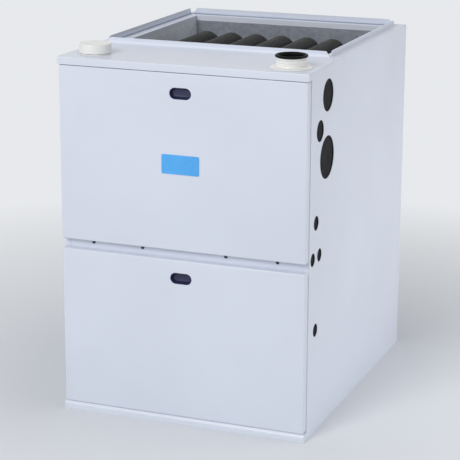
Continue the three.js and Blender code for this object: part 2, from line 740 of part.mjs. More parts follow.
function igniter() {
  const foot = block([-12, 12], [-14, 14], [0, 4]);
  const insulator = block([-8, 8], [-6, 6], [3, 26]);
  const element = block([-4, 4], [-1.5, 1.5], [25, 36]);
  return join(foot, insulator, element);
}

// Round thermal switch on a small plate, with a bore for its reset button
function rolloutSwitch() {
  const face = boxFront - gap;
  const plate = block([switchX - 20, switchX + 20], [face - sheet, face], [switchZ - 11, switchZ + 11]);
  const can = rod('y', 10, [face - 9, face], [switchX, switchZ], 20);
  const bore = rod('y', 3.8, [face - 10, face - 2.5], [switchX, switchZ], 12);
  return cut(join(plate, can), bore);
}

function pressureSwitch() {
  const face = vestibuleY - gap;
  const body = solid(turned([
    [0, 0], [30, 0], [30, 6], [38, 8], [38, 14], [28, 18], [14, 26], [5, 27], [5, 38], [0, 38],
  ], 20).rotateX(Math.PI / 2));
  return body.translate([pressureSwitchX, face, passHeights[2] + 34.4]);
}

// Elbow from the intake collar into the side of the burner box
function intakePipe() {
  const radius = collarOffset - boxHalfWidth - gap - 4;
  const centre = new THREE.Vector3(-collarOffset + radius, collarY, intakeHeight + radius);
  return tubeAlong([
    new THREE.Vector3(-collarOffset, collarY, collarStop),
    ...arcStations(centre, radius, Math.PI, 1.5 * Math.PI, X, Z, 6),
    new THREE.Vector3(-boxHalfWidth - gap, collarY, intakeHeight),
  ], pipeRadius, pipeBore, 16, 8);
}

add('burner_box', burnerBox(), 'galvanised');
add('burner_rack', burnerRack(), 'galvanised');
add('gas_manifold', gasManifold(), 'blackPaint');
add('gas_valve', gasValve(), 'castMetal');
add('valve_knob', valveKnob(), 'blackPlastic')
  .position.set(dropX - 10, valveY - valveSize.y / 2 - gap, valveTop - 22);
add('igniter', igniter(), 'ceramic').position.set(tubeSpots[tubeCount - 1], burnerOutlet - 18, boxLow + sheet + gap);
add('rollout_switch', rolloutSwitch(), 'blackPlastic');
add('reset_button', rod('y', 3.5, [boxFront - 12.5, boxFront - 5], [switchX, switchZ], 12), 'red');
add('pressure_switch', pressureSwitch(), 'blackPlastic');
add('intake_pipe', intakePipe(), 'whitePvc');

// ---------------------------------------------------------------- flue gas inducer

// Scroll outline about the wheel centre, in (u, v): cut-off near the top, outlet straight up at +u
function scrollOutline(small, large, top, inset, steps = 22) {
  const start = scrollStart;
  const end = 1.5 * Math.PI;
  const shape = new THREE.Shape();
  for (let i = 0; i <= steps; i += 1) {
    const angle = start + (end - start) * i / steps;
    const radius = small + (large - small) * i / steps - inset;
    const [u, v] = [-Math.sin(angle) * radius, Math.cos(angle) * radius];
    if (i === 0) shape.moveTo(u + 2 * inset, top);
    shape.lineTo(i === 0 ? u + 2 * inset : u, v);
  }
  shape.lineTo(large - inset, top);
  shape.closePath();
  return shape;
}

function inducerHousing() {
  const wall = 2;
  const place = (body) => body.translate([inducerX, 0, inducerZ]);
  const scroll = (inset, span, top) => place(extrudeY(
    inducerOutline(inducerSmall, inducerLarge, top, inset), span));
  const rear = coldHeaderFront - gap;
  const shell = scroll(0, [inducerFront, rear], inducerTop);
  const hollow = scroll(wall, [inducerFront + wall, rear - wall], inducerTop + 5);
  const inlet = rod('y', 30, [rear - 5, rear + 5], [inducerX, inducerZ], 20);
  const shaftHole = rod('y', 6, [inducerFront - 5, inducerFront + 5], [inducerX, inducerZ], 12);
  return cut(shell, hollow, inlet, shaftHole);
}

// Small scroll with a narrow outlet on its right side
function inducerOutline(small, large, top, inset) {
  const steps = 20;
  const start = -Math.acos((outletLeft - inducerX) / small) + Math.PI / 2;
  const shape = new THREE.Shape();
  shape.moveTo(outletLeft - inducerX + inset, top);
  for (let i = 0; i <= steps; i += 1) {
    const angle = -start + (1.5 * Math.PI + start) * i / steps;
    const radius = small + (large - small) * i / steps - inset;
    const u = i === 0 ? outletLeft - inducerX + inset : -Math.sin(angle) * radius;
    shape.lineTo(u, Math.cos(angle) * radius);
  }
  shape.lineTo(large - inset, top);
  shape.closePath();
  return shape;
}

// Radial wheel on a shaft that runs forward into the motor
function inducerWheel() {
  const half = inducerWheelWidth / 2;
  const disc = solid(turned([[0, -half], [inducerWheelRadius, -half], [inducerWheelRadius, -half + 2],
    [9, -half + 2], [9, half], [0, half]], 24));
  const shaft = solid(turned([[0, -half - 30], [4, -half - 30], [4, half], [0, half]], 12));
  const blades = [...Array(8).keys()].map((i) => block([7, inducerWheelRadius - 2], [-1, 1], [-half + 1, half])
    .rotate([0, 0, i * 45]));
  return geometryOf(join(disc, shaft, ...blades)).rotateX(-Math.PI / 2);
}

function inducerMotor() {
  const face = inducerFront - gap;
  const flange = rod('y', 30, [face - 4, face], [inducerX, inducerZ], 20);
  const can = rod('y', 40, [face - 56, face - 3.5], [inducerX, inducerZ], 20);
  const bore = rod('y', 5, [face - 26, face + 1], [inducerX, inducerZ], 12);
  return cut(join(flange, can), bore);
}

function ventPipe() {
  const pipeY = (inducerFront + coldHeaderFront - gap) / 2;
  const low = inducerZ + inducerTop + gap;
  const foot = new THREE.Vector3(ventStartX, pipeY, low);
  const start = foot.clone().addScaledVector(Z, 8);
  const high = new THREE.Vector3(collarOffset, collarY, boxLow);
  const lift = (high.z - start.z) / 2;
  const bend = new THREE.CubicBezierCurve3(
    start, start.clone().addScaledVector(Z, lift), high.clone().addScaledVector(Z, -lift), high);
  return tubeAlong([foot, ...bend.getPoints(8), new THREE.Vector3(collarOffset, collarY, collarStop)],
    pipeRadius, pipeBore, 16, 8);
}

// Coupling on the top panel: flange, wall up to the mouth, socket and a stop ring between the two sockets
function collar(rim, mouth) {
  const flange = collarRadius + rim;
  const stop = collarStop - height + gap;
  return turnedRing([
    [socketRadius, gap], [flange, gap], [flange, gap + 1.8], [collarWallFace, gap + 3], ...mouth,
    [socketRadius, stop + 3], [pipeBore, stop + 3], [pipeBore, stop], [socketRadius, stop],
  ], 20);
}

// Ribbed wall with a rolled lip
function ventMouth() {
  const ribs = [];
  const lipMiddle = ventCollarHeight - collarLip;
  for (let z = 7; z + 5 < lipMiddle; z += 5.5) {
    ribs.push([collarWallFace, z], [collarWallFace + 1.6, z + 1.2], [collarWallFace, z + 2.8]);
  }
  const lip = [-100, -65, -30, 5, 40, 75, 110, 150].map((degrees) => {
    const angle = THREE.MathUtils.degToRad(degrees);
    return [collarRadius + collarLip * Math.cos(angle), lipMiddle + collarLip * Math.sin(angle)];
  });
  return [...ribs, [collarWallFace, lipMiddle - 5], ...lip, [socketRadius, lipMiddle]];
}

const intakeMouth = () => [[collarWallFace, intakeCollarHeight], [socketRadius, intakeCollarHeight]];

// Smooth cap over the intake collar, down to its flange
function intakeCap() {
  const bore = collarWallFace + 2 * gap;
  const outside = collarRadius + intakeCollarRim + 0.6;
  const foot = 3.6;
  const top = intakeCollarHeight + gap + capThickness;
  return turned([
    [0, top - capThickness], [bore, top - capThickness], [bore, foot], [outside, foot], [outside, top - 1.2],
    [outside - 1.2, top], [0, top + 0.5],
  ], 32);
}

add('inducer_housing', inducerHousing(), 'blackPlastic');
add('inducer_wheel', inducerWheel(), 'blackPlastic')
  .position.set(inducerX, (inducerFront + coldHeaderFront - gap) / 2, inducerZ);
add('inducer_motor', inducerMotor(), 'castMetal');
add('vent_pipe', ventPipe(), 'whitePvc');
add('vent_collar', collar(ventCollarRim, ventMouth()), 'whitePvc').position.set(collarOffset, collarY, height);
add('intake_collar', collar(intakeCollarRim, intakeMouth()), 'whitePvc').position.set(-collarOffset, collarY, height);
add('intake_cap', intakeCap(), 'whitePvc').position.set(-collarOffset, collarY, height);

// ---------------------------------------------------------------- condensate

// Trap bottle on the deck, fed from the cold header, with a drain line to the right side
function condensateTrap() {
  const half = 32;
  const bottleY = valveY;
  const top = drainHeight + 14;
  const bottle = block([trapX - half, trapX + half], [bottleY - half, bottleY + half], [onDeck, top]);
  const spout = rod('y', 9, [bottleY, coldHeaderFront - gap], [trapX, drainHeight], 12);
  const drainHole = sideHoles[5];
  const line = rod('x', 9, [trapX, side - 12], [caseFront + drainHole.setback, drainHole.z], 12);
  return join(bottle, spout, line);
}

add('condensate_trap', condensateTrap(), 'blackPlastic');

// ---------------------------------------------------------------- blower

const blower = new THREE.Group();
blower.position.set(0, blowerY, blowerZ);
furnace.add(blower);

function blowerHousing() {
  const half = blowerWidth / 2;
  const shell = extrudeX(scrollOutline(scrollSmall, scrollLarge, blowerTop, 0), [-half, half]);
  const hollow = extrudeX(scrollOutline(scrollSmall, scrollLarge, blowerTop + 5, sheet),
    [-half + sheet, half - sheet]);
  const inlets = rod('x', inletRadius, [-half - 5, half + 5], [0, 0], 32);
  const [front, rear] = scrollOutlet(scrollSmall, scrollLarge);
  const rim = 14;
  const flange = block([-half - rim, half + rim], [front - rim, rear + rim], [blowerTop - sheet, blowerTop]);
  const mouth = block([-half + sheet, half - sheet], [front + sheet, rear - sheet], [blowerTop - 5, blowerTop + 5]);
  return cut(join(cut(shell, hollow, inlets), flange), mouth);
}

// Double-inlet wheel with forward-curved blades, its hub and its shaft
function blowerWheel() {
  const half = blowerWheelWidth / 2;
  const ringDepth = 5;
  const innerEdge = blowerWheelRadius - bladeDepth;
  const ring = (from, to) => solid(turns.x(turnedRing([[innerEdge + 4, from], [blowerWheelRadius, from],
    [blowerWheelRadius, to], [innerEdge + 4, to]], 24)));
  const disc = rod('x', blowerWheelRadius - 1, [-1.5, 1.5], [0, 0], 24);
  const hub = rod('x', 20, [-22, 22], [0, 0], 16);
  const shaft = rod('x', shaftRadius, [-120, 30], [0, 0], 12);
  const middle = blowerWheelRadius - bladeDepth / 2;
  const blades = [...Array(bladeCount).keys()].map((i) => block(
    [-half + 1, half - 1], [-0.9, 0.9], [-bladeDepth / 2 + 1, bladeDepth / 2 - 1])
    .rotate([32, 0, 0]).translate([0, 0, middle]).rotate([i * 360 / bladeCount, 0, 0]));
  return join(ring(-half, -half + ringDepth), ring(half - ringDepth, half), disc, hub, shaft, ...blades);
}

function blowerMotor() {
  const can = rod('x', motorRadius, [motorRear, motorFront], [0, 0], 24);
  const bore = rod('x', shaftRadius + gap, [-125, motorFront + 1], [0, 0], 12);
  return cut(can, bore);
}

// Belly band round the motor with three arms to the rim of the left inlet
function motorMount() {
  const band = solid(turns.x(turnedRing([
    [motorRadius + gap, mountFace - 14], [motorRadius + 3, mountFace - 14],
    [motorRadius + 3, mountFace], [motorRadius + gap, mountFace]], 24)));
  const arms = [0, 120, 240].map((angle) => block(
    [mountFace - 4, mountFace], [-8, 8], [motorRadius + 1.5, inletRadius + 12]).rotate([angle, 0, 0]));
  return join(band, ...arms);
}

add('blower_housing', blowerHousing(), 'galvanised', blower);
add('blower_wheel', blowerWheel(), 'galvanised', blower);
add('blower_motor', blowerMotor(), 'blackPaint', blower);
add('motor_mount', motorMount(), 'galvanised', blower);

// ---------------------------------------------------------------- controls

// Tray hung under the deck with the circuit board, its transformer and relays
function controlBoard() {
  const under = deckHeight - gap;
  const trayY = caseFront + 43;
  const boardY = trayY - 12;
  const tray = block([-285, -105], [trayY, trayY + sheet], [under - 125, under]);
  const hem = block([-285, -105], [trayY, trayY + 22], [under - sheet, under]);
  const board = block([-272, -118], [boardY, boardY + 1.6], [under - 112, under - 20]);
  const posts = [-260, -130].flatMap((x) => [under - 104, under - 30].map(
    (z) => rod('y', 3, [boardY + 1, trayY + 1], [x, z], 6)));
  const relays = [-255, -225, -195].map((x) => block([x, x + 20], [boardY - 16, boardY + 1], [under - 60, under - 35]));
  const transformer = block([-165, -125], [boardY - 26, boardY + 1], [under - 100, under - 50]);
  return join(tray, hem, board, ...posts, ...relays, transformer);
}

function doorSwitch() {
  const under = deckHeight - gap;
  const body = block([plungerX - 18, plungerX + 18], [caseFront + 7, caseFront + 43], [plungerZ - 12, under]);
  const bore = rod('y', 4.3, [caseFront + 3, plungerEnd + plungerTravel + 1], [plungerX, plungerZ], 12);
  return cut(body, bore);
}

function doorSwitchPlunger() {
  const tip = doorFace + sheet + gap;
  const stem = rod('y', 4, [tip, plungerEnd], [plungerX, plungerZ], 12);
  const head = rod('y', 6.5, [tip, tip + 2.5], [plungerX, plungerZ], 12);
  return join(stem, head);
}

add('control_board', controlBoard(), 'board');
add('door_switch', doorSwitch(), 'blackPlastic');
add('door_switch_plunger', doorSwitchPlunger(), 'red');

export default furnace;
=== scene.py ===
"""Looks of the furnace: enamelled casing, doors, collars and the works inside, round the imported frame."""

import json
import math

import bmesh
import bpy
from mathutils import Matrix, Vector


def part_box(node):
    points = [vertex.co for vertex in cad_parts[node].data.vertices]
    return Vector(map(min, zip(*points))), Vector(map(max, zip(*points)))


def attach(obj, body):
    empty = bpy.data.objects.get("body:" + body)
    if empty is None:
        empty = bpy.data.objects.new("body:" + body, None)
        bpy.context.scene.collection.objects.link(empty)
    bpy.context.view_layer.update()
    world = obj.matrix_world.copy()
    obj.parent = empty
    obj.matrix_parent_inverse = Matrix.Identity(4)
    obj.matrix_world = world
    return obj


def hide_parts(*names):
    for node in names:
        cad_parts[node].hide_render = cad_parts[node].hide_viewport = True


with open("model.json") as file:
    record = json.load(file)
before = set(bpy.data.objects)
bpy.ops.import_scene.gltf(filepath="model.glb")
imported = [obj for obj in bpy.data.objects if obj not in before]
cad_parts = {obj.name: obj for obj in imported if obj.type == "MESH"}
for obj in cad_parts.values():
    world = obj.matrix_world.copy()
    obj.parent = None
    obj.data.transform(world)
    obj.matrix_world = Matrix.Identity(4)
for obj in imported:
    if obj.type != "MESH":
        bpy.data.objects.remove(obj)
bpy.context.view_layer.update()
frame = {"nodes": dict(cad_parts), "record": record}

TAU = 2 * math.pi

# ---------------------------------------------------------------- camera and light

CAMERA_PLACE = (1.518, -3.978, 1.561)      # metres
CAMERA_AZIMUTH = 21.251                    # degrees
CAMERA_ELEVATION = 15.427
CAMERA_ROLL = -0.213
CAMERA_LENS = 135.39                       # millimetres, on a sensor of SENSOR_WIDTH
SENSOR_WIDTH = 36
CLIP_NEAR, CLIP_FAR = 0.05, 60
WORLD_LIGHT = (0.93, 0.96, 1.0, 1)         # what the object is lit by
WORLD_LEVEL = 0.44
WORLD_SEEN = (0.93, 0.94, 0.95, 1)         # what camera, glossy and transmission rays meet
WORLD_SEEN_LEVEL = 1.0


def make_camera():
    data = bpy.data.cameras.new("camera")
    data.sensor_width = SENSOR_WIDTH
    data.lens = CAMERA_LENS
    data.clip_start, data.clip_end = CLIP_NEAR, CLIP_FAR
    camera = bpy.data.objects.new("camera", data)
    bpy.context.scene.collection.objects.link(camera)
    a, e = math.radians(CAMERA_AZIMUTH), math.radians(CAMERA_ELEVATION)
    ahead = Vector((-math.sin(a) * math.cos(e), math.cos(a) * math.cos(e), -math.sin(e)))
    right = Vector((math.cos(a), math.sin(a), 0))
    up = right.cross(ahead)
    turn = Matrix((right, up, -ahead)).transposed()
    roll = Matrix.Rotation(math.radians(-CAMERA_ROLL), 3, "Z")
    camera.matrix_world = Matrix.Translation(CAMERA_PLACE) @ (turn @ roll).to_4x4()
    bpy.context.scene.camera = camera


def area_light(name, place, target, size, power):
    data = bpy.data.lights.new(name, "AREA")
    data.shape = "SQUARE"
    data.size = size
    data.energy = power
    light = bpy.data.objects.new(name, data)
    bpy.context.scene.collection.objects.link(light)
    light.location = place
    light.rotation_euler = (Vector(target) - Vector(place)).to_track_quat("-Z", "Y").to_euler()


def make_world():
    world = bpy.data.worlds.new("studio")
    bpy.context.scene.world = world
    world.use_nodes = True
    nodes, links = world.node_tree.nodes, world.node_tree.links
    nodes.clear()
    out = nodes.new("ShaderNodeOutputWorld")
    light = nodes.new("ShaderNodeBackground")
    light.inputs["Color"].default_value = WORLD_LIGHT
    light.inputs["Strength"].default_value = WORLD_LEVEL
    seen = nodes.new("ShaderNodeBackground")
    seen.inputs["Color"].default_value = WORLD_SEEN
    seen.inputs["Strength"].default_value = WORLD_SEEN_LEVEL
    path = nodes.new("ShaderNodeLightPath")
    reflected = nodes.new("ShaderNodeMath")
    reflected.operation = "MAXIMUM"
    links.new(path.outputs["Is Glossy Ray"], reflected.inputs[0])
    links.new(path.outputs["Is Transmission Ray"], reflected.inputs[1])
    shown = nodes.new("ShaderNodeMath")
    shown.operation = "MAXIMUM"
    links.new(path.outputs["Is Camera Ray"], shown.inputs[0])
    links.new(reflected.outputs[0], shown.inputs[1])
    mix = nodes.new("ShaderNodeMixShader")
    links.new(shown.outputs[0], mix.inputs[0])
    links.new(light.outputs[0], mix.inputs[1])
    links.new(seen.outputs[0], mix.inputs[2])
    links.new(mix.outputs[0], out.inputs["Surface"])


# ---------------------------------------------------------------- materials

PAINT = (222, 227, 238)                    # 8-bit screen colours
ZINC = (158, 166, 174)
PAINT_LINE = (0.8618, 0.8628)              # height over which the liner goes from zinc to paint
SPANGLE_SCALE = 95


class Shader:
    """A small builder for node materials on object-space coordinates."""

    def __init__(self, name, roughness=0.5, metallic=0.0):
        self.material = bpy.data.materials.new(name)
        self.material.use_nodes = True
        self.nodes = self.material.node_tree.nodes
        self.links = self.material.node_tree.links
        self.surface = self.nodes["Principled BSDF"]
        self.surface.inputs["Roughness"].default_value = roughness
        self.surface.inputs["Metallic"].default_value = metallic
        self.place = self.nodes.new("ShaderNodeTexCoord").outputs["Object"]

    def add(self, kind, **values):
        node = self.nodes.new(kind)
        for key, value in values.items():
            setattr(node, key, value)
        return node

    def stretched(self, scale):
        node = self.add("ShaderNodeMapping")
        node.inputs["Scale"].default_value = scale
        self.links.new(self.place, node.inputs["Vector"])
        return node.outputs[0]

    def noise(self, scale, detail=2.0, roughness=0.5, place=None):
        node = self.add("ShaderNodeTexNoise")
        node.inputs["Scale"].default_value = scale
        node.inputs["Detail"].default_value = detail
        node.inputs["Roughness"].default_value = roughness
        self.links.new(place or self.place, node.inputs["Vector"])
        return node.outputs["Fac"]

    def cells(self, scale):
        """Distance to the middle of each cell."""
        node = self.add("ShaderNodeTexVoronoi")
        node.inputs["Scale"].default_value = scale
        self.links.new(self.place, node.inputs["Vector"])
        return node.outputs["Distance"]

    def remap(self, value, low, high, to_low=0.0, to_high=1.0):
        node = self.add("ShaderNodeMapRange")
        limits = {"From Min": low, "From Max": high, "To Min": to_low, "To Max": to_high}
        for socket, number in limits.items():
            node.inputs[socket].default_value = number
        self.links.new(value, node.inputs["Value"])
        return node.outputs[0]

    def math(self, operation, a, b=None):
        node = self.add("ShaderNodeMath", operation=operation)
        for i, value in enumerate((a, b)):
            if value is None:
                continue
            if isinstance(value, (int, float)):
                node.inputs[i].default_value = value
            else:
                self.links.new(value, node.inputs[i])
        return node.outputs[0]

    def blend(self, share, a, b):
        """Colour a where the share is 0, b where it is 1."""
        node = self.add("ShaderNodeMix", data_type="RGBA")
        for socket, value in ((node.inputs[0], share), (node.inputs[6], a), (node.inputs[7], b)):
            if isinstance(value, (int, float, tuple)):
                socket.default_value = value
            else:
                self.links.new(value, socket)
        return node.outputs[2]

    def edges(self, radius):
        """About 1 on convex and concave edges, 0 on flats."""
        bevel = self.add("ShaderNodeBevel", samples=4)
        bevel.inputs["Radius"].default_value = radius
        geometry = self.add("ShaderNodeNewGeometry")
        dot = self.add("ShaderNodeVectorMath", operation="DOT_PRODUCT")
        self.links.new(bevel.outputs[0], dot.inputs[0])
        self.links.new(geometry.outputs["Normal"], dot.inputs[1])
        return self.remap(dot.outputs["Value"], 0.98, 0.75)

    def position(self, axis):
        split = self.add("ShaderNodeSeparateXYZ")
        self.links.new(self.place, split.inputs[0])
        return split.outputs["XYZ".index(axis)]

    def bump(self, height, strength, distance):
        node = self.add("ShaderNodeBump")
        node.inputs["Strength"].default_value = strength
        node.inputs["Distance"].default_value = distance
        self.links.new(height, node.inputs["Height"])
        self.links.new(node.outputs[0], self.surface.inputs["Normal"])
        return self

    def set(self, **sockets):
        for name, value in sockets.items():
            socket = self.surface.inputs[name.replace("_", " ")]
            if isinstance(value, (int, float, tuple)):
                socket.default_value = value
            else:
                self.links.new(value, socket)
        return self


def srgb(r, g, b):
    """8-bit screen colour to the linear colour that renders as it."""
    def line(v):
        v /= 255
        return v / 12.92 if v <= 0.04045 else ((v + 0.055) / 1.055) ** 2.4
    return (line(r), line(g), line(b), 1)


def shade(colour, factor):
    return tuple(min(1, c * factor) for c in colour[:3]) + (1,)


def enamel():
    """Baked enamel on sheet steel: faint orange peel, cloudy gloss, duller and darker along its edges, from
    wear on convex edges and painted shade in concave creases.
    """
    s = Shader("enamel")
    base = srgb(*PAINT)
    cloud = s.noise(3.2, 3)
    colour = s.blend(s.remap(cloud, 0.35, 0.65), shade(base, 0.975), shade(base, 1.015))
    wear_and_crease_shade = s.math("MULTIPLY", s.edges(0.0012), s.remap(s.noise(38, 4, 0.7), 0.42, 0.7))
    # edges darkened: wear on convex edges, painted shade in concave creases
    colour = s.blend(s.math("MULTIPLY", wear_and_crease_shade, 0.5), colour, shade(base, 0.8))
    dust = s.remap(s.noise(900, 2), 0.66, 0.74)
    colour = s.blend(s.math("MULTIPLY", dust, 0.08), colour, shade(base, 0.7))
    gloss = s.math("ADD", s.remap(s.noise(11, 5, 0.6), 0.3, 0.7, 0.34, 0.44), s.math("MULTIPLY", wear_and_crease_shade, 0.2))
    s.set(Base_Color=colour, Roughness=gloss, Coat_Weight=0.08, Coat_Roughness=0.3)
    return s.bump(s.noise(420, 2, 0.5), 0.06, 0.0003).material


def galvanised():
    """Spangled zinc on sheet steel with a light white bloom."""
    s = Shader("galvanised", metallic=0.85)
    base = srgb(*ZINC)
    flake = s.cells(SPANGLE_SCALE)
    spangle = s.remap(flake, 0.0, 0.9)
    grain = s.blend(spangle, shade(base, 0.82), shade(base, 1.15))
    bloom = s.remap(s.noise(7, 5, 0.65), 0.5, 0.75)
    colour = s.blend(s.math("MULTIPLY", bloom, 0.35), grain, shade(base, 1.25))
    s.set(Base_Color=colour, Roughness=s.remap(s.noise(60, 4), 0.3, 0.7, 0.34, 0.55))
    return s.bump(flake, 0.05, 0.0004).material


def liner(name, wall):
    """Enamelled on the ledge and the top of the wall, bare zinc below."""
    s = Shader(name)
    paint = srgb(*PAINT)
    zinc = srgb(*wall)
    line = s.math("ADD", s.position("Z"), s.math("MULTIPLY", s.noise(30, 3), 0.002))
    painted = s.remap(line, *PAINT_LINE)
    grain = s.blend(s.remap(s.cells(SPANGLE_SCALE), 0.0, 0.9), shade(zinc, 0.86), shade(zinc, 1.12))
    skin = s.blend(s.noise(4, 3), shade(paint, 0.97), shade(paint, 1.01))
    s.set(
        Base_Color=s.blend(painted, grain, skin),
        Metallic=s.math("MULTIPLY", s.math("SUBTRACT", 1.0, painted), 0.35),
        Roughness=s.remap(s.noise(50, 4), 0.3, 0.7, 0.38, 0.5),
    )
    return s.bump(s.noise(420, 2), 0.05, 0.0003).material


def tube_steel():
    """Aluminised tube, heat-tinted and darkened to near black as painted shade for the deep outlet, with
    faint draw marks.
    """
    s = Shader("tube_steel", metallic=0.2)
    streaks = s.noise(14, 4, 0.6, place=s.stretched((26, 1.2, 26)))
    # near-black tones: painted shade, kept dark against the top lamp that reaches into the outlet
    colour = s.blend(s.remap(streaks, 0.35, 0.7), srgb(4, 5, 6), srgb(17, 19, 20))
    heat = s.remap(s.noise(9, 3), 0.5, 0.72)
    colour = s.blend(s.math("MULTIPLY", heat, 0.35), colour, srgb(20, 17, 15))
    s.set(Base_Color=colour, Roughness=s.remap(streaks, 0.3, 0.7, 0.5, 0.68), Specular_IOR_Level=0.15)
    return s.bump(s.noise(260, 3), 0.1, 0.0003).material


def moulded(name, colour, roughness=0.4, grain=700, depth=0.08, metallic=0.0, shine=0.5):
    """Moulded plastic, or another fine-grained skin, with uneven gloss and paler rubbed edges."""
    s = Shader(name, metallic=metallic)
    base = srgb(*colour)
    tone = s.blend(s.remap(s.noise(16, 3), 0.3, 0.7), shade(base, 0.93), shade(base, 1.05))
    rubbed = s.math("MULTIPLY", s.edges(0.0009), s.remap(s.noise(80, 3), 0.4, 0.7))
    lighter = tuple(min(1, c * 1.25 + 0.02) for c in base[:3]) + (1,)
    tone = s.blend(s.math("MULTIPLY", rubbed, 0.5), tone, lighter)
    s.set(Base_Color=tone, Roughness=s.remap(s.noise(40, 4), 0.3, 0.7, roughness - 0.05, roughness + 0.07),
          Specular_IOR_Level=shine)
    return s.bump(s.noise(grain, 2), depth, 0.0002).material


def bare_metal(name, colour, roughness=0.38, stretch=(1, 1, 1), scale=120, metallic=0.95):
    """Bare metal with rolling marks along one direction and small stains."""
    s = Shader(name, metallic=metallic)
    base = srgb(*colour)
    marks = s.noise(scale, 4, 0.6, place=s.stretched(stretch))
    tone = s.blend(s.remap(marks, 0.3, 0.7), shade(base, 0.85), shade(base, 1.1))
    stain = s.remap(s.noise(10, 5, 0.7), 0.55, 0.8)
    tone = s.blend(s.math("MULTIPLY", stain, 0.3), tone, shade(base, 0.7))
    s.set(Base_Color=tone, Roughness=s.remap(marks, 0.3, 0.7, roughness - 0.07, roughness + 0.1))
    return s.bump(marks, 0.06, 0.0003).material


def fin_stock():
    """Thin plate fins, seen as fine upright lines, with painted shade in the gaps between them."""
    s = Shader("fin_stock", metallic=0.9)
    base = srgb(190, 195, 200)
    wave = s.add("ShaderNodeTexWave", wave_type="BANDS", bands_direction="Y")
    wave.inputs["Scale"].default_value = 120
    s.links.new(s.place, wave.inputs["Vector"])
    line = wave.outputs["Fac"]
    gloss = s.remap(s.noise(30, 3), 0.3, 0.7, 0.35, 0.5)
    # dark bands: painted shade in the gaps between the fins
    s.set(Base_Color=s.blend(line, shade(base, 0.35), base), Roughness=gloss)
    return s.bump(line, 0.6, 0.001).material


def make_materials():
    """Every material, by the name of its slot or of a finish that shares a slot."""
    return {
        "paint": enamel(),
        "liner": liner("liner", (148, 154, 164)),
        # painted light: a much lighter copy of the zinc liner, for the brightly lit left wall
        "liner_painted_lit": liner("liner_painted_lit", (236, 239, 245)),
        "galvanised": galvanised(),
        "aluminised": tube_steel(),
        "stainless": bare_metal("stainless", (188, 190, 192), 0.3, (60, 1, 1)),
        "aluminium": fin_stock(),
        "black_plastic": moulded("black_plastic", (30, 31, 36), 0.45),
        # painted shade: near-black, dull plugs standing for the dark inside of open holes
        "plug_plastic_painted_shade": moulded("plug_plastic_painted_shade", (5, 5, 8), 0.6, 500, 0.12, shine=0.1),
        "navy_plastic": moulded("navy_plastic", (38, 42, 78), 0.35, 600, 0.05),
        "white_pvc": moulded("white_pvc", (243, 242, 238), 0.32, 300, 0.04),
        "sky_plate": moulded("sky_plate", (84, 178, 248), 0.28, 800, 0.02),
        "black_paint": moulded("black_paint", (34, 36, 40), 0.42, 260, 0.12, 0.2),
        "cast_metal": bare_metal("cast_metal", (150, 154, 158), 0.45, (1, 1, 1), 350),
        "screw": bare_metal("screw", (70, 72, 82), 0.4, (1, 1, 1), 200, 0.7),
        "ceramic": moulded("ceramic", (226, 219, 202), 0.7, 400, 0.15),
        "red_plastic": moulded("red_plastic", (198, 44, 34), 0.35),
        "board": moulded("board", (30, 104, 58), 0.35, 200, 0.1),
        # near-black: real rubber on the lip, painted shade on the sleeve down the vent socket
        "rubber_and_painted_shade": moulded("rubber_and_painted_shade", (4, 4, 5), 0.5, 500, 0.05, shine=0.12),
    }


MATERIALS = make_materials()

# ---------------------------------------------------------------- building blocks

FOLD_ANGLE = 32            # degrees: sharper edges stay sharp
CUT_ANGLE = 50             # rounds cut edges and leaves the steps of bends and bores alone
FINE_EDGE = 0.0003
BODY_OF = {n: b for b, names in frame["record"]["behaviour"]["bodies"].items() for n in names}
SLOT_OF = {s["node"]: s["material_slot"] for s in frame["record"]["subparts"]}


def place(obj, nodes, material, slot=None):
    """Gives a finished piece its material and ties it to the CAD nodes it stands for."""
    obj.data.materials.clear()
    obj.data.materials.append(MATERIALS[material])
    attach(obj, BODY_OF[nodes[0]])
    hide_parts(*nodes)
    return obj


def mesh_object(name, bm, smooth_angle=FOLD_ANGLE):
    """Object from the bmesh, smooth except over folds sharper than the angle."""
    bmesh.ops.recalc_face_normals(bm, faces=bm.faces)
    mesh = bpy.data.meshes.new(name)
    bm.to_mesh(mesh)
    bm.free()
    mesh.polygons.foreach_set("use_smooth", [True] * len(mesh.polygons))
    mesh.set_sharp_from_angle(angle=math.radians(smooth_angle))
    obj = bpy.data.objects.new(name, mesh)
    bpy.context.scene.collection.objects.link(obj)
    return obj


def bevel(obj, width, segments=2, angle=FOLD_ANGLE):
    """Rounds the edges that are sharper than the angle."""
    mod = obj.modifiers.new("edge", "BEVEL")
    mod.width = width
    mod.segments = segments
    mod.limit_method = "ANGLE"
    mod.angle_limit = math.radians(angle)
    mod.harden_normals = True
    mod.use_clamp_overlap = True
    return obj


def thicken(obj, thickness):
    """Gives a surface its sheet thickness, inwards."""
    mod = obj.modifiers.new("sheet", "SOLIDIFY")
    mod.thickness = thickness
    mod.offset = -1
    mod.use_even_offset = True
    return obj


def bake(obj):
    """Turns the modifiers so far into plain geometry."""
    bpy.context.view_layer.update()
    graph = bpy.context.evaluated_depsgraph_get()
    mesh = bpy.data.meshes.new_from_object(obj.evaluated_get(graph))
    obj.modifiers.clear()
    old, obj.data = obj.data, mesh
    bpy.data.meshes.remove(old)
    return obj


def carve(obj, cutters):
    """Cuts the cutters out of obj and removes them."""
    for cutter in cutters:
        mod = obj.modifiers.new("cut", "BOOLEAN")
        mod.operation = "DIFFERENCE"
        mod.solver = "EXACT"
        mod.object = cutter
    bake(obj)
    for cutter in cutters:
        bpy.data.objects.remove(cutter)
    mesh = obj.data
    mesh.polygons.foreach_set("use_smooth", [True] * len(mesh.polygons))
    mesh.set_sharp_from_angle(angle=math.radians(FOLD_ANGLE))
    return obj


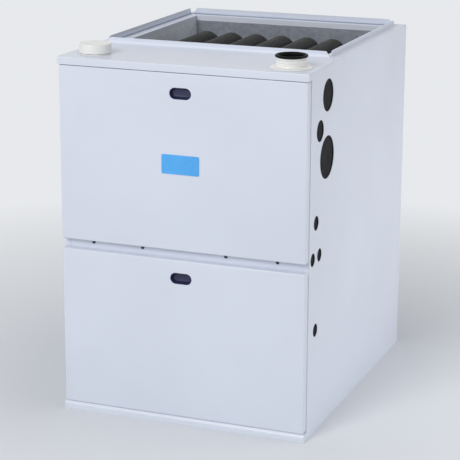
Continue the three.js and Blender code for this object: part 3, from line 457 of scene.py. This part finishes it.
def loft(rings, close_loop=False):
    """Mesh through rings of equal point counts, with flat ends or closed in a loop."""
    bm = bmesh.new()
    made = [[bm.verts.new(p) for p in ring] for ring in rings]
    pairs = list(zip(made, made[1:])) + ([(made[-1], made[0])] if close_loop else [])
    for low, high in pairs:
        for i in range(len(low)):
            j = (i + 1) % len(low)
            bm.faces.new((low[i], low[j], high[j], high[i]))
    if not close_loop:
        bm.faces.new(list(reversed(made[0])))
        bm.faces.new(made[-1])
    return bm


AXES = {"x": (1, 2, 0), "y": (0, 2, 1), "z": (0, 1, 2)}      # two ways across each axis, then the axis


def along(axis, u, v, w):
    """Point with w along the axis and u, v across it."""
    point = [0.0, 0.0, 0.0]
    point[AXES[axis][0]], point[AXES[axis][1]], point[AXES[axis][2]] = u, v, w
    return point


def turned(name, profile, centre, axis, sides, loop=False):
    """Lathe body about an axis through centre, from (radius, height) pairs in metres."""
    centre = Vector(centre)
    turns = [TAU * i / sides for i in range(sides)]
    rings = []
    for radius, height in profile:
        radius = max(radius, 1e-5)
        rings.append([Vector(along(axis, radius * math.cos(a), radius * math.sin(a), height)) + centre
                      for a in turns])
    return mesh_object(name, loft(rings, close_loop=loop))


def rounded(profile, radius, steps):
    """The open polyline with its corners turned into arcs, of one radius or a radius for each point."""
    points = [Vector(p) for p in profile]
    out = []
    last = len(points) - 1
    for i, here in enumerate(points):
        if i in (0, last):
            out.append(here)
            continue
        a, b = points[i - 1] - here, points[i + 1] - here
        wanted = radius[i] if isinstance(radius, (list, tuple)) else radius
        reach = min(wanted, a.length * 0.49, b.length * 0.49)
        if reach < 1e-6:
            out.append(here)
            continue
        start, end = here + a.normalized() * reach, here + b.normalized() * reach
        for k in range(steps + 1):
            t = k / steps
            out.append(start * (1 - t) ** 2 + here * 2 * t * (1 - t) + end * t * t)
    return out


def folded(profile, thickness, radius, steps):
    """Outline of folded sheet: rounded bends, thickened to the profile's left, or right if negative."""
    line = rounded(profile, radius, steps)
    inside = []
    for i, here in enumerate(line):
        before, after = line[max(i - 1, 0)], line[min(i + 1, len(line) - 1)]
        ways = [way.normalized() for way in (here - before, after - here) if way.length > 1e-9]
        normals = [Vector((-w[1], w[0])) for w in ways]
        middle = sum(normals, Vector((0, 0))).normalized()
        inside.append(here + middle * thickness / max(0.3, middle.dot(normals[0])))
    return line + inside[::-1]


def prism(name, outline, axis, span):
    """Flat outline across the axis, between two places along it."""
    bm = loft([[Vector(along(axis, u, v, w)) for u, v in outline] for w in span])
    return mesh_object(name, bm)


def box(name, lo, hi, edge):
    """Block between two corners, its edges rounded by the width given."""
    bm = bmesh.new()
    bmesh.ops.create_cube(bm, size=1)
    for v in bm.verts:
        v.co = [lo[k] + (v.co[k] + 0.5) * (hi[k] - lo[k]) for k in range(3)]
    obj = mesh_object(name, bm)
    return bevel(obj, edge) if edge else obj


def rod(name, axis, radius, span, centre, sides):
    """Round bar along the axis, with its middle given across the axis."""
    turns = [TAU * i / sides for i in range(sides)]
    outline = [(centre[0] + radius * math.cos(a), centre[1] + radius * math.sin(a)) for a in turns]
    return prism(name, outline, axis, span)


def joined(name, objects):
    """One object from several, modifiers applied."""
    bm = bmesh.new()
    for obj in objects:
        bake(obj)
        bm.from_mesh(obj.data)
        bpy.data.objects.remove(obj)
    return mesh_object(name, bm)


def stadium(width, height, inset, sides=64):
    """Points of a rounded bar about the origin, the same number for every inset."""
    radius = height / 2 - inset
    reach = width / 2 - height / 2
    points = []
    for i in range(sides):
        angle = TAU * i / sides - math.pi / 2
        side = reach if i < sides / 2 else -reach
        points.append((side + radius * math.cos(angle), radius * math.sin(angle)))
    return points


def refined(node, material, edge):
    """The CAD node's own shape with its triangles merged into faces and its edges rounded."""
    source = frame["nodes"][node].data
    bm = bmesh.new()
    verts = [bm.verts.new(v.co) for v in source.vertices]
    for face in source.polygons:
        corners = [verts[i] for i in face.vertices]
        if len(set(corners)) == 3:
            try:
                bm.faces.new(corners)
            except ValueError:
                pass
    bmesh.ops.remove_doubles(bm, verts=bm.verts, dist=2e-6)
    bmesh.ops.dissolve_limit(bm, angle_limit=math.radians(0.6), verts=bm.verts, edges=bm.edges)
    return place(bevel(mesh_object(node + "_shape", bm), edge), [node], material)


# ---------------------------------------------------------------- casing, in metres

SIDE = 0.311               # middle to the outside of a side panel
SHEET = 0.0015
GAP = 0.0003               # between pieces that touch
FRONT = -0.395             # face of the lip
DOOR_FACE = -0.393
CASE_FRONT = -0.373        # stiles and rail, behind the doors
REAR = 0.395
HEIGHT = 0.876
LIP_LOW = 0.858
INNER_X = SIDE - SHEET - GAP
INNER_REAR = REAR - SHEET - GAP
SKIN_TOP = 0.8735          # side and rear skins, under the folds of the top
PLATE_TOP = 0.8742         # side panels, under the top plate
STILE_WIDTH = 0.014
HEM_WIDTH = 0.020          # rear hem of a side panel
BEND = 0.003               # outer radius of the casing's folds
STILE_BEND = 0.0024
FLANGE_X = 0.287           # duct flanges: sides, front, rear and top edge
FLANGE_Y = -0.173
REAR_FLANGE = 0.371
FLANGE_TOP = 0.891
FLANGE_SLANT = 0.010       # each flange end leans in by this much over its height
FLANGE_BEND = 0.0055
FLANGE_FOOT = 0.0115       # flat beside the side and rear flanges that belongs to their bend
FRONT_FLANGE_BEND = 0.0085
NOTCH = 0.004              # relief at each flange corner
CUT_CLEAR = 0.034          # how far the cut past a front flange end reaches
FOLD_START = -0.1712       # side folds begin behind the top plate
SIDE_HOLES = [             # y, z and radius
    (-0.255, 0.805, 0.0381), (-0.309, 0.731, 0.0254), (-0.256, 0.659, 0.0508), (-0.327, 0.518, 0.01745),
    (-0.348, 0.435, 0.0159), (-0.300, 0.435, 0.0159), (-0.322, 0.257, 0.0159),
]


def flange_end(end, way):
    """Outline of what is cut away past one slanted end of the front duct flange."""
    level, over = HEIGHT + 0.0002, FLANGE_TOP + 0.01
    far, tip = end + way * CUT_CLEAR, end - way * FLANGE_SLANT
    return [(far, level), (end, level), (tip, FLANGE_TOP), (tip, over), (far, over)]


def slanted(name, outline, axis, span):
    """Outline run along the axis, its ends leaning in above the casing top."""
    lean = FLANGE_SLANT / (FLANGE_TOP - HEIGHT)
    rings = [[Vector(along(axis, u, z, end + way * lean * (z - HEIGHT))) for u, z in outline]
             for end, way in zip(span, (1, -1))]
    return mesh_object(name, loft(rings))


def top_fold(name, axis, span, outer, flange, thickness, flange_span):
    """Casing top bent inwards, and the duct flange bent up from it, shorter and with slanted ends."""
    foot = flange - math.copysign(FLANGE_FOOT, flange - outer)
    ledge = folded([(outer, SKIN_TOP), (outer, HEIGHT), (foot, HEIGHT)], thickness, [0, BEND, 0], 6)
    upright = folded([(foot, HEIGHT), (flange, HEIGHT), (flange, FLANGE_TOP)], thickness,
                     [0, FLANGE_BEND, 0], 7)
    low = HEIGHT - SHEET
    corner = [(foot, low), (flange, low), (flange, HEIGHT), (foot, HEIGHT)]
    return [
        prism(name + "_ledge", ledge, axis, span),
        bevel(slanted(name, upright, axis, flange_span), FINE_EDGE, angle=CUT_ANGLE),
        prism(name + "_corner_1", corner, axis, (span[0], flange_span[0])),
        prism(name + "_corner_2", corner, axis, (flange_span[1], span[1])),
    ]


def mirrored(sign, *values):
    return sorted(sign * v for v in values)


def side_panel(sign, node):
    """Skin with its holes, the front stile bent round the corner, the rear hem and the top flange."""
    front = CASE_FRONT + BEND
    outline = [(front, 0), (REAR, 0), (REAR, SKIN_TOP), (FOLD_START, SKIN_TOP), (FOLD_START, PLATE_TOP),
               (front, PLATE_TOP)]
    skin = prism(node + "_skin", outline, "x", mirrored(sign, SIDE - SHEET, SIDE))
    if sign > 0:
        through = (SIDE - 0.01, SIDE + 0.01)
        carve(skin, [rod("cutter", "x", r, through, (y, z), 72) for y, z, r in SIDE_HOLES])
        bevel(skin, FINE_EDGE, angle=CUT_ANGLE)
    place(skin, [node], "paint")
    bent = [(sign * SIDE, front), (sign * SIDE, CASE_FRONT), (sign * (SIDE - STILE_WIDTH), CASE_FRONT)]
    stile = prism(node + "_stile", folded(bent, -sign * SHEET, STILE_BEND, 5), "z", (0, PLATE_TOP))
    place(bevel(stile, FINE_EDGE), [node], "paint")
    x0, x1 = mirrored(sign, SIDE - HEM_WIDTH, INNER_X)
    hem = box(node + "_hem", (x0, INNER_REAR - SHEET, 0), (x1, INNER_REAR, HEIGHT - 2 * SHEET - GAP),
              FINE_EDGE)
    place(hem, [node], "paint")
    flange_span = (FLANGE_Y + SHEET + NOTCH, REAR_FLANGE - SHEET - NOTCH)
    for fold in top_fold(node + "_flange", "y", (FOLD_START, REAR), sign * SIDE, sign * FLANGE_X,
                         sign * SHEET, flange_span):
        place(fold, [node], "paint")


def rear_panel():
    skin = box("rear_panel_skin", (-INNER_X, REAR - SHEET, 0), (INNER_X, REAR, SKIN_TOP), FINE_EDGE)
    place(skin, ["rear_panel"], "paint")
    reach = FLANGE_X - SHEET - GAP
    for fold in top_fold("rear_panel_flange", "x", (-reach, reach), REAR, REAR_FLANGE, SHEET,
                         (NOTCH - reach, reach - NOTCH)):
        place(fold, ["rear_panel"], "paint")


def top_front_panel():
    """Lip, top plate and front duct flange in one bent sheet, with round holes under the collars."""
    bends = [(FRONT, LIP_LOW), (FRONT, HEIGHT), (FLANGE_Y, HEIGHT), (FLANGE_Y, FLANGE_TOP)]
    outline = folded(bends, -SHEET, [0, BEND, FRONT_FLANGE_BEND, 0], 7)
    piece = prism("top_front_panel_shape", outline, "x", (-SIDE, SIDE))
    through, past_flange = (HEIGHT - 0.016, HEIGHT + 0.024), (FLANGE_Y - 0.02, FLANGE_Y + 0.01)
    cutters = [rod("cutter", "z", PIPE + 0.001, through, (sign * COLLAR_X, COLLAR_Y), 48) for sign in (-1, 1)]
    for sign in (-1, 1):
        cutters.append(prism("cutter", flange_end(sign * FLANGE_X, sign), "y", past_flange))
    place(bevel(carve(piece, cutters), 0.0004, angle=CUT_ANGLE), ["top_front_panel"], "paint")
    for sign, label in ((-1, "left"), (1, "right")):
        x0, x1 = mirrored(sign, SIDE - SHEET, SIDE)
        skirt = box("top_front_panel_skirt_" + label, (x0, FRONT + 0.0012, LIP_LOW),
                    (x1, CASE_FRONT - GAP, HEIGHT - 0.0009), 0.0004)
        place(skirt, ["top_front_panel"], "paint")


def rail_screws():
    """Hexagon washer-head screws with a crossed recess."""
    face = CASE_FRONT - GAP
    head_radius, slot_half, slot_reach = 0.0033, 0.0004, 0.0021
    for i in range(1, 5):
        lo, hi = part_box(f"rail_screw_{i}")
        x, z = (lo.x + hi.x) / 2, (lo.z + hi.z) / 2
        steps = [(0, 0), (0.0042, 0), (0.0042, 0.0005), (0.0035, 0.0011), (0, 0.0011)]
        washer = turned("washer", [(radius, face - rise) for radius, rise in steps], (x, 0, z), "y", 40)
        turns = [TAU * k / 6 + 0.2 * i for k in range(6)]
        hexagon = [(x + head_radius * math.cos(a), z + head_radius * math.sin(a)) for a in turns]
        head = prism("head", hexagon, "y", (face - 0.0034, face - 0.0009))
        carve(head, [box("cutter", (x - w, face - 0.005, z - h), (x + w, face - 0.002, z + h), 0)
                     for w, h in ((slot_half, slot_reach), (slot_reach, slot_half))])
        bevel(head, FINE_EDGE)
        shank = rod("shank", "y", 0.0021, (face - 0.001, face + 0.009), (x, z), 20)
        place(joined(f"rail_screw_{i}_shape", [washer, head, shank]), [f"rail_screw_{i}"], "screw")


def hole_plugs():
    """Shallow dished plugs with a rim behind the skin, near-black as painted shade of open holes."""
    for i, (y, z, r) in enumerate(SIDE_HOLES, 1):
        face, rim = r - 0.0002, r + 0.004
        dish = [(0, 0.0032), (rim, 0.0032), (rim, 0.0018), (face, 0.0018), (face, 0.0009),
                (face - 0.0004, 0.0006), (face - 0.0024, 0.0006), (face - 0.0036, 0.0019), (0, 0.0019)]
        profile = [(radius, SIDE - depth) for radius, depth in dish]
        plug = turned(f"hole_plug_{i}_shape", profile, (0, y, z), "x", 72)
        place(plug, [f"hole_plug_{i}"], "plug_plastic_painted_shade")


# ---------------------------------------------------------------- doors

DOOR_HALF = 0.309
DOOR_BEND = 0.0038
DOOR_HEM = 0.01
UPPER_DOOR = (0.435, 0.857, 0.809)      # foot, top and middle of the pull
LOWER_DOOR = (0.0204, 0.412, 0.367)
PULL = (0.054, 0.027)
CUP = [                                 # inset from the pull's outline and depth behind the door face
    (0.0120, 0.0120), (0.0075, 0.0119), (0.0048, 0.0112), (0.0036, 0.0095), (0.0022, 0.0030),
    (0.0016, 0.0012), (0.0010, 0.0005), (0.0003, 0.0004), (0.0002, 0.0018), (-0.0040, 0.0018),
    (-0.0040, 0.0032), (0.0002, 0.0034), (0.0008, 0.0118), (0.0030, 0.0140), (0.0120, 0.0140),
]


def door(node, low, high, pull_z):
    """Pressed door pan: rounded folds, a hem along its rear edge and the oval opening of the pull."""
    rear = CASE_FRONT - GAP
    bm = bmesh.new()
    bmesh.ops.create_cube(bm, size=1)
    for v in bm.verts:
        v.co = (v.co.x * 2 * DOOR_HALF, DOOR_FACE + (v.co.y + 0.5) * (rear - DOOR_FACE),
                low + (v.co.z + 0.5) * (high - low))
    back = [f for f in bm.faces if f.normal.y > 0.5]
    bmesh.ops.delete(bm, geom=back, context="FACES_ONLY")
    folds = [e for e in bm.edges if not e.is_boundary]
    bmesh.ops.bevel(bm, geom=folds, offset=DOOR_BEND, segments=5, profile=0.5, affect="EDGES")
    rim = bmesh.ops.extrude_edge_only(bm, edges=[e for e in bm.edges if e.is_boundary])
    middle = (low + high) / 2
    for v in rim["geom"]:
        if isinstance(v, bmesh.types.BMVert):
            v.co.x -= math.copysign(DOOR_HEM, v.co.x)
            v.co.z -= math.copysign(DOOR_HEM, v.co.z - middle)
    bmesh.ops.recalc_face_normals(bm, faces=bm.faces)
    front = max(bm.faces, key=lambda f: -f.calc_center_median().y)
    if front.normal.y > 0:
        bmesh.ops.reverse_faces(bm, faces=bm.faces)
    mesh = bpy.data.meshes.new(node)
    bm.to_mesh(mesh)
    bm.free()
    obj = bpy.data.objects.new(node + "_shape", mesh)
    bpy.context.scene.collection.objects.link(obj)
    bake(thicken(obj, SHEET))
    opening = [(u, v + pull_z) for u, v in stadium(*PULL, 0)]
    carve(obj, [prism("cutter", opening, "y", (DOOR_FACE - 0.004, DOOR_FACE + 0.004))])
    return place(bevel(obj, 0.0005, angle=60), [node], "paint")


def pull_cup(node, pull_z):
    """Moulded cup behind the opening: rolled lip, sloped wall and a round-edged floor."""
    loops = [[Vector((u, DOOR_FACE + depth, v + pull_z)) for u, v in stadium(*PULL, inset)]
             for inset, depth in CUP]
    return place(mesh_object(node + "_shape", loft(loops), 40), [node], "navy_plastic")


def doors():
    for label, measures in (("upper", UPPER_DOOR), ("lower", LOWER_DOOR)):
        door(label + "_door_panel", *measures)
        pull_cup(label + "_pull_cup", measures[2])
    refined("blank_plate", "sky_plate", 0.0004)


# ---------------------------------------------------------------- pipes and collars

COLLAR_X = 0.245
COLLAR_Y = -0.325
PIPE = 0.030               # radii of the pipe, its bore, the socket round it and the socket's wall
PIPE_BORE = 0.0262
SOCKET = 0.0308
COLLAR_WALL = 0.034
PIPE_TOP = HEIGHT + 0.0053
ROUND = 96                 # sides of the collars and other large lathe bodies


def bump_ring(radius, low, height, out, steps=6):
    """Half-round ring moulded on a wall, as profile points from its foot to its top."""
    turns = [k / steps for k in range(steps + 1)]
    return [(radius + out * math.sin(math.pi * t), low + height * t) for t in turns]


def coupling(node, sign, rim, wall_top, fillet, ribs):
    """Socket on a round flange, with a stop ring between its two sockets."""
    z = HEIGHT + GAP
    stop = z + 0.0053
    profile = [(SOCKET, z), (rim, z), (rim, z + 0.001), (rim - 0.0008, z + 0.0018)]
    profile += [(radius, z + rise) for radius, rise in fillet]
    for rib in ribs:
        profile += bump_ring(COLLAR_WALL, HEIGHT + rib, 0.0028, 0.0014)
    profile += [(COLLAR_WALL, wall_top - 0.0008), (COLLAR_WALL - 0.0007, wall_top),
                (SOCKET + 0.0007, wall_top), (SOCKET, wall_top - 0.0008), (SOCKET, stop + 0.003),
                (PIPE_BORE, stop + 0.003), (PIPE_BORE, stop), (SOCKET, stop)]
    piece = turned(node + "_shape", profile, (sign * COLLAR_X, COLLAR_Y, 0), "z", ROUND, loop=True)
    place(piece, [node], "white_pvc")


def collars():
    """Ribbed vent collar with a black rolled seal in its mouth and a black sleeve down its socket as painted
    shade, and the smooth collar under the cap.
    """
    coupling("vent_collar", 1, 0.050, HEIGHT + 0.026,
             [(0.038, 0.0022), (0.0352, 0.0034), (COLLAR_WALL, 0.0056)], (0.007, 0.0125, 0.018))
    coupling("intake_collar", -1, 0.0375, HEIGHT + 0.022,
             [(0.0352, 0.0020), (0.0344, 0.0023), (COLLAR_WALL, 0.0030)], ())
    middle, centre, radius = 0.035, HEIGHT + 0.027, 0.003
    turns = [math.radians(degrees) for degrees in range(-90, 165, 15)]
    lip = [(middle + radius * math.cos(a), centre + radius * math.sin(a)) for a in turns]
    # the sleeve from the lip down the socket wall is painted shade: a black lining for the dark inside of the
    # vent
    seal = lip + [(0.0302, HEIGHT + 0.025), (0.0302, HEIGHT + 0.0095), (0.0307, HEIGHT + 0.0095),
                  (0.0307, HEIGHT + 0.0262), (0.0345, HEIGHT + 0.0262)]
    piece = turned("vent_collar_seal_and_shade_sleeve", seal, (COLLAR_X, COLLAR_Y, 0), "z", ROUND, loop=True)
    place(piece, ["vent_collar"], "rubber_and_painted_shade", "black_plastic")


def intake_cap():
    """Smooth cup over the collar, with a rounded rim and a slightly domed top."""
    foot, top = HEIGHT + 0.0036, HEIGHT + 0.0253
    outside, inside = 0.0381, 0.0346
    profile = [
        (0, top - 0.003), (inside, top - 0.003), (inside, foot + 0.0004), (inside + 0.0004, foot),
        (outside - 0.0004, foot), (outside, foot + 0.0004), (outside, top - 0.002),
        (outside - 0.0003, top - 0.0009), (outside - 0.0009, top - 0.0002), (outside - 0.0018, top),
        (outside - 0.0034, top - 0.0001), (outside - 0.0044, top - 0.0005), (outside - 0.006, top - 0.0005),
        (0, top + 0.0003),
    ]
    cap = turned("intake_cap_shape", profile, (-COLLAR_X, COLLAR_Y, 0), "z", ROUND)
    place(cap, ["intake_cap"], "white_pvc")


def swept(name, path, radius, sides=48):
    """Round bar through a list of points, with rings kept square to the path."""
    turns = [TAU * k / sides for k in range(sides)]
    rings = []
    side = None
    for i, here in enumerate(path):
        way = (path[min(i + 1, len(path) - 1)] - path[max(i - 1, 0)]).normalized()
        if side is None:
            side = way.orthogonal().normalized()
        side = (side - way * side.dot(way)).normalized()
        other = way.cross(side)
        rings.append([here + side * radius * math.cos(a) + other * radius * math.sin(a) for a in turns])
    return mesh_object(name, loft(rings), 50)


def hollow_pipe(node, path):
    """Plastic pipe with a bore: a thick wall swept along the path and square-cut ends."""
    outer = swept("outer", path, PIPE)
    way_in = (path[0] - path[1]).normalized() * 0.002
    way_out = (path[-1] - path[-2]).normalized() * 0.002
    bore = swept("bore", [path[0] + way_in] + path + [path[-1] + way_out], PIPE_BORE)
    outer.name = node + "_shape"
    place(bevel(carve(outer, [bore]), 0.0006, angle=CUT_ANGLE), [node], "white_pvc")


def vent_pipe():
    """S-bend from the inducer's outlet up to the collar."""
    low, high = Vector((0.194, -0.2438, 0.6633)), Vector((COLLAR_X, COLLAR_Y, 0.772))
    lift = Vector((0, 0, (high.z - low.z) / 2))
    path = [Vector((low.x, low.y, 0.6553))]
    for t in (k / 20 for k in range(21)):
        s = 1 - t
        near_low, near_high = (low + lift) * 3 * t * s ** 2, (high - lift) * 3 * t * t * s
        path.append(low * s ** 3 + near_low + near_high + high * t ** 3)
    path.append(Vector((COLLAR_X, COLLAR_Y, PIPE_TOP)))
    hollow_pipe("vent_pipe", path)


def intake_pipe():
    """Elbow from the burner box up to the collar."""
    turn, level = 0.0407, 0.812
    path = [Vector((-0.2003, COLLAR_Y, level))]
    for a in (math.pi * k / 24 for k in range(13)):
        x, z = turn - COLLAR_X - turn * math.sin(a), level + turn - turn * math.cos(a)
        path.append(Vector((x, COLLAR_Y, z)))
    path.append(Vector((-COLLAR_X, COLLAR_Y, PIPE_TOP)))
    hollow_pipe("intake_pipe", path)


# ---------------------------------------------------------------- heat exchanger and works inside

TUBE = 0.029
TUBE_PITCH = 0.069
TUBE_CROWN = HEIGHT - 0.017
PASS_DROP = 0.084


def half_turn(x, y, z, radius, way, steps=24):
    """Half circle across X from its top to its foot, bulging along Y."""
    turns = [math.pi * k / steps for k in range(steps + 1)]
    return [Vector((x, y + way * radius * math.sin(a), z + radius * math.cos(a))) for a in turns]


def heat_tubes():
    """Three passes of bent tube each."""
    top, bend = TUBE_CROWN - TUBE, PASS_DROP / 2
    for i in range(6):
        x = (i - 2.5) * TUBE_PITCH
        path = [Vector((x, -0.1722, top)), Vector((x, 0.0, top))]
        path += half_turn(x, 0.19, top - bend, bend, 1)
        path += half_turn(x, -0.098, top - PASS_DROP - bend, bend, -1)
        path += [Vector((x, 0.2147, top - 2 * PASS_DROP))]
        place(swept(f"heat_tube_{i + 1}_shape", path, TUBE), [f"heat_tube_{i + 1}"], "aluminised")


RAIL_END = 0.2935          # rail between the doors
RAIL_LOW = 0.411
RAIL_TOP = 0.433
PLAIN_PIECES = (           # node, material, radius of its rounded edges
    # the left liner takes the painted-light copy of the liner
    ("plenum_liner_left", "liner_painted_lit", 0.0004), ("plenum_liner_right", "liner", 0.0004),
    ("plenum_liner_rear", "liner", 0.0004), ("vestibule_panel", "galvanised", 0.0003),
    ("burner_box", "galvanised", 0.0003), ("blower_housing", "galvanised", 0.0003),
    ("motor_mount", "galvanised", 0.0003), ("burner_rack", "galvanised", 0.0003),
    ("transition_header", "stainless", 0.0008), ("secondary_coil", "aluminium", 0.0005),
    ("cold_header", "black_plastic", 0.001), ("gas_manifold", "black_paint", 0.0003),
    ("gas_valve", "cast_metal", 0.0012), ("valve_knob", "black_plastic", 0.0006),
    ("igniter", "ceramic", 0.0004), ("rollout_switch", "black_plastic", 0.0004),
    ("reset_button", "red_plastic", 0.0004), ("pressure_switch", "black_plastic", 0.0005),
    ("inducer_housing", "black_plastic", 0.0006), ("inducer_motor", "cast_metal", 0.001),
    ("condensate_trap", "black_plastic", 0.001), ("blower_motor", "black_paint", 0.0015),
    ("door_switch", "black_plastic", 0.0005), ("door_switch_plunger", "red_plastic", 0.0004),
)


def base_and_deck():
    """Base pan and deck, and the short strips that fill the rail out to the stiles."""
    for node in ("base_pan", "blower_deck"):
        refined(node, "paint", 0.0004)
    for sign, label in ((-1, "left"), (1, "right")):
        x0, x1 = mirrored(sign, RAIL_END, SIDE - STILE_WIDTH - 0.0002)
        end = box("blower_deck_end_" + label, (x0, CASE_FRONT, RAIL_LOW), (x1, CASE_FRONT + SHEET, RAIL_TOP),
                  0.0002)
        place(end, ["blower_deck"], "paint")


def curved_blade(start, radius_in, radius_out, thickness, steps=6):
    """Forward-curved blade as a bent plate, in the plane across the wheel's axis."""
    outside, inside = [], []
    for k in range(steps + 1):
        t = k / steps
        r = radius_in + (radius_out - radius_in) * t
        a = start + 0.13 * t + 0.1 * t * t
        outside.append((r * math.cos(a), r * math.sin(a)))
        a -= thickness / r
        inside.append((r * math.cos(a), r * math.sin(a)))
    return outside + inside[::-1]


def blower_wheel():
    """Double-inlet wheel: rolled end rings, curved blades, flat centre plate, hub and shaft."""
    centre = (0, 0.02, 0.2)
    half, outer, inner, blades = 0.125, 0.1268, 0.1095, 44
    bm = bmesh.new()
    for i in range(blades):
        outline = curved_blade(TAU * i / blades, inner, outer - 0.0012, 0.0009)
        made = [[bm.verts.new((x, centre[1] + u, centre[2] + v)) for u, v in outline]
                for x in (0.001 - half, half - 0.001)]
        count = len(outline)
        for k in range(count):
            j = (k + 1) % count
            bm.faces.new((made[0][k], made[0][j], made[1][j], made[1][k]))
        bm.faces.new(list(reversed(made[0])))
        bm.faces.new(made[1])
    pieces = [mesh_object("blades", bm, 50)]
    for sign in (-1, 1):
        a, b = sign * (half - 0.006), sign * half
        curl, inside = b - sign * 0.001, b - sign * 0.0018
        ring = [(inner + 0.002, a), (inner + 0.002, b), (outer - 0.001, b), (outer, curl), (outer, a),
                (outer - 0.0008, a), (outer - 0.0008, inside), (inner + 0.003, inside), (inner + 0.003, a)]
        pieces.append(turned("ring", ring, centre, "x", ROUND, True))
    disc = [(0, -0.0015), (0.126, -0.0015), (0.126, 0.0015), (0, 0.0015)]
    hub = [(0, -0.022), (0.0185, -0.022), (0.0198, -0.0205), (0.0198, 0.0205), (0.0185, 0.022), (0, 0.022)]
    shaft = [(0, -0.12), (0.0058, -0.12), (0.00635, -0.1192), (0.00635, 0.0292), (0.0058, 0.03), (0, 0.03)]
    for name, profile, sides in (("disc", disc, ROUND), ("hub", hub, 48), ("shaft", shaft, 32)):
        pieces.append(turned(name, profile, centre, "x", sides))
    place(joined("blower_wheel_shape", pieces), ["blower_wheel"], "galvanised")


def inducer_wheel():
    """Open wheel: back plate, boss, twelve straight blades and the shaft."""
    x, y, z = 0.14, -0.2438, 0.56
    front, back, blades = y - 0.014, y + 0.014, 12
    disc = [(0, back - 0.002), (0.056, back - 0.002), (0.056, back), (0, back)]
    boss = [(0, front), (0.0082, front), (0.009, front + 0.0008), (0.009, back), (0, back)]
    shaft = [(0, y - 0.044), (0.0036, y - 0.044), (0.004, y - 0.0436), (0.004, back), (0, back)]
    pieces = [turned(name, profile, (x, 0, z), "y", sides)
              for name, profile, sides in (("disc", disc, 72), ("boss", boss, 32), ("shaft", shaft, 24))]
    for i in range(blades):
        blade = box("blade", (0.0075, front, -0.0007), (0.0535, back - 0.0015, 0.0007), 0)
        turn = Matrix.Rotation(TAU * i / blades, 4, "Y")
        blade.data.transform(Matrix.Translation((x, 0, z)) @ turn)
        pieces.append(blade)
    place(joined("inducer_wheel_shape", pieces), ["inducer_wheel"], "black_plastic")


def control_board():
    """Sheet tray, circuit board on posts, relays, a laminated transformer and a few small parts."""
    node, under = "control_board", 0.4107
    tray, board = -0.330, -0.342
    sheet = [box("tray", (-0.285, tray, under - 0.125), (-0.105, tray + SHEET, under), 0.0004),
             box("hem", (-0.285, tray, under - SHEET), (-0.105, tray + 0.022, under), 0.0004)]
    sheet += [rod("post", "y", 0.003, (board + 0.001, tray + 0.001), (x, z), 16)
              for x in (-0.26, -0.13) for z in (under - 0.104, under - 0.03)]
    place(joined(node + "_tray", sheet), [node], "galvanised", "galvanised")
    laminate = box(node + "_laminate", (-0.272, board, under - 0.112),
                   (-0.118, board + 0.0016, under - 0.02), 0.0002)
    place(laminate, [node], "board", "board")
    black = [box("relay", (x, board - 0.016, under - 0.06), (x + 0.02, board + 0.0002, under - 0.035),
                 0.0008) for x in (-0.255, -0.225, -0.195)]
    black += [rod("cap", "y", 0.006, (board - 0.014, board), (-0.182, under - 0.075 - 0.014 * k), 24)
              for k in range(2)]
    black += [box("chip", (x, board - 0.003, under - 0.098), (x + 0.012, board, under - 0.082), 0.0003)
              for x in (-0.262, -0.236, -0.212)]
    place(joined(node + "_relays", black), [node], "black_plastic", "black_plastic")
    iron = [box("core", (-0.165, board - 0.026, under - 0.1), (-0.125, board + 0.0002, under - 0.05),
                0.0015)]
    place(joined(node + "_transformer", iron), [node], "black_paint", "black_paint")


side_panel(-1, "left_side_panel")
side_panel(1, "right_side_panel")
rear_panel()
top_front_panel()
rail_screws()
hole_plugs()
doors()
collars()
intake_cap()
heat_tubes()
vent_pipe()
intake_pipe()
blower_wheel()
inducer_wheel()
control_board()
base_and_deck()
for piece_of_works in PLAIN_PIECES:
    refined(*piece_of_works)

# ---------------------------------------------------------------- stage

FLOOR_HALF = 14
FLOOR_TONES = (226, 228, 231), (230, 232, 235)
FLOOR_NEAR, FLOOR_FAR = 0.5, 1.9      # metres from the middle: own shading, then even tone
BACKDROP = (231, 233, 236)
LIGHTS = (                            # name, place, aimed at, side in metres, watts
    ("key", (-1.2, -5.7, 4.0), (0, 0, 0.5), 2.4, 190),
    ("fill", (1.6, 0.15, 0.3), (0.3, 0.0, -0.1), 1.0, 7),
    ("top", (0.6, 0.4, 4.2), (0, 0, 0.9), 2.4, 12),
)


def make_floor():
    """Pale floor that takes the object's shadow near it and stays even in the distance."""
    bm = bmesh.new()
    bmesh.ops.create_grid(bm, x_segments=1, y_segments=1, size=FLOOR_HALF)
    floor = mesh_object("floor", bm)
    s = Shader("floor")
    dark, light = FLOOR_TONES
    s.set(Base_Color=s.blend(s.noise(0.6, 2), srgb(*dark), srgb(*light)), Roughness=0.8)
    distance = s.add("ShaderNodeVectorMath", operation="LENGTH")
    s.links.new(s.place, distance.inputs[0])
    far = s.remap(distance.outputs["Value"], FLOOR_NEAR, FLOOR_FAR)
    path = s.add("ShaderNodeLightPath")
    reflected = s.math("MAXIMUM", path.outputs["Is Glossy Ray"], path.outputs["Is Transmission Ray"])
    seen = s.math("MAXIMUM", path.outputs["Is Camera Ray"], reflected)
    glow = s.add("ShaderNodeEmission")
    glow.inputs["Color"].default_value = srgb(*BACKDROP)
    mix = s.add("ShaderNodeMixShader")
    s.links.new(s.math("MULTIPLY", far, seen), mix.inputs[0])
    s.links.new(s.surface.outputs[0], mix.inputs[1])
    s.links.new(glow.outputs[0], mix.inputs[2])
    s.links.new(mix.outputs[0], s.nodes["Material Output"].inputs["Surface"])
    floor.data.materials.append(s.material)


make_camera()
make_world()
make_floor()
bpy.context.scene.view_settings.view_transform = "Standard"
for light in LIGHTS:
    area_light(*light)

for node, obj in frame["nodes"].items():
    obj.data.materials.clear()
    obj.data.materials.append(MATERIALS[SLOT_OF[node]])
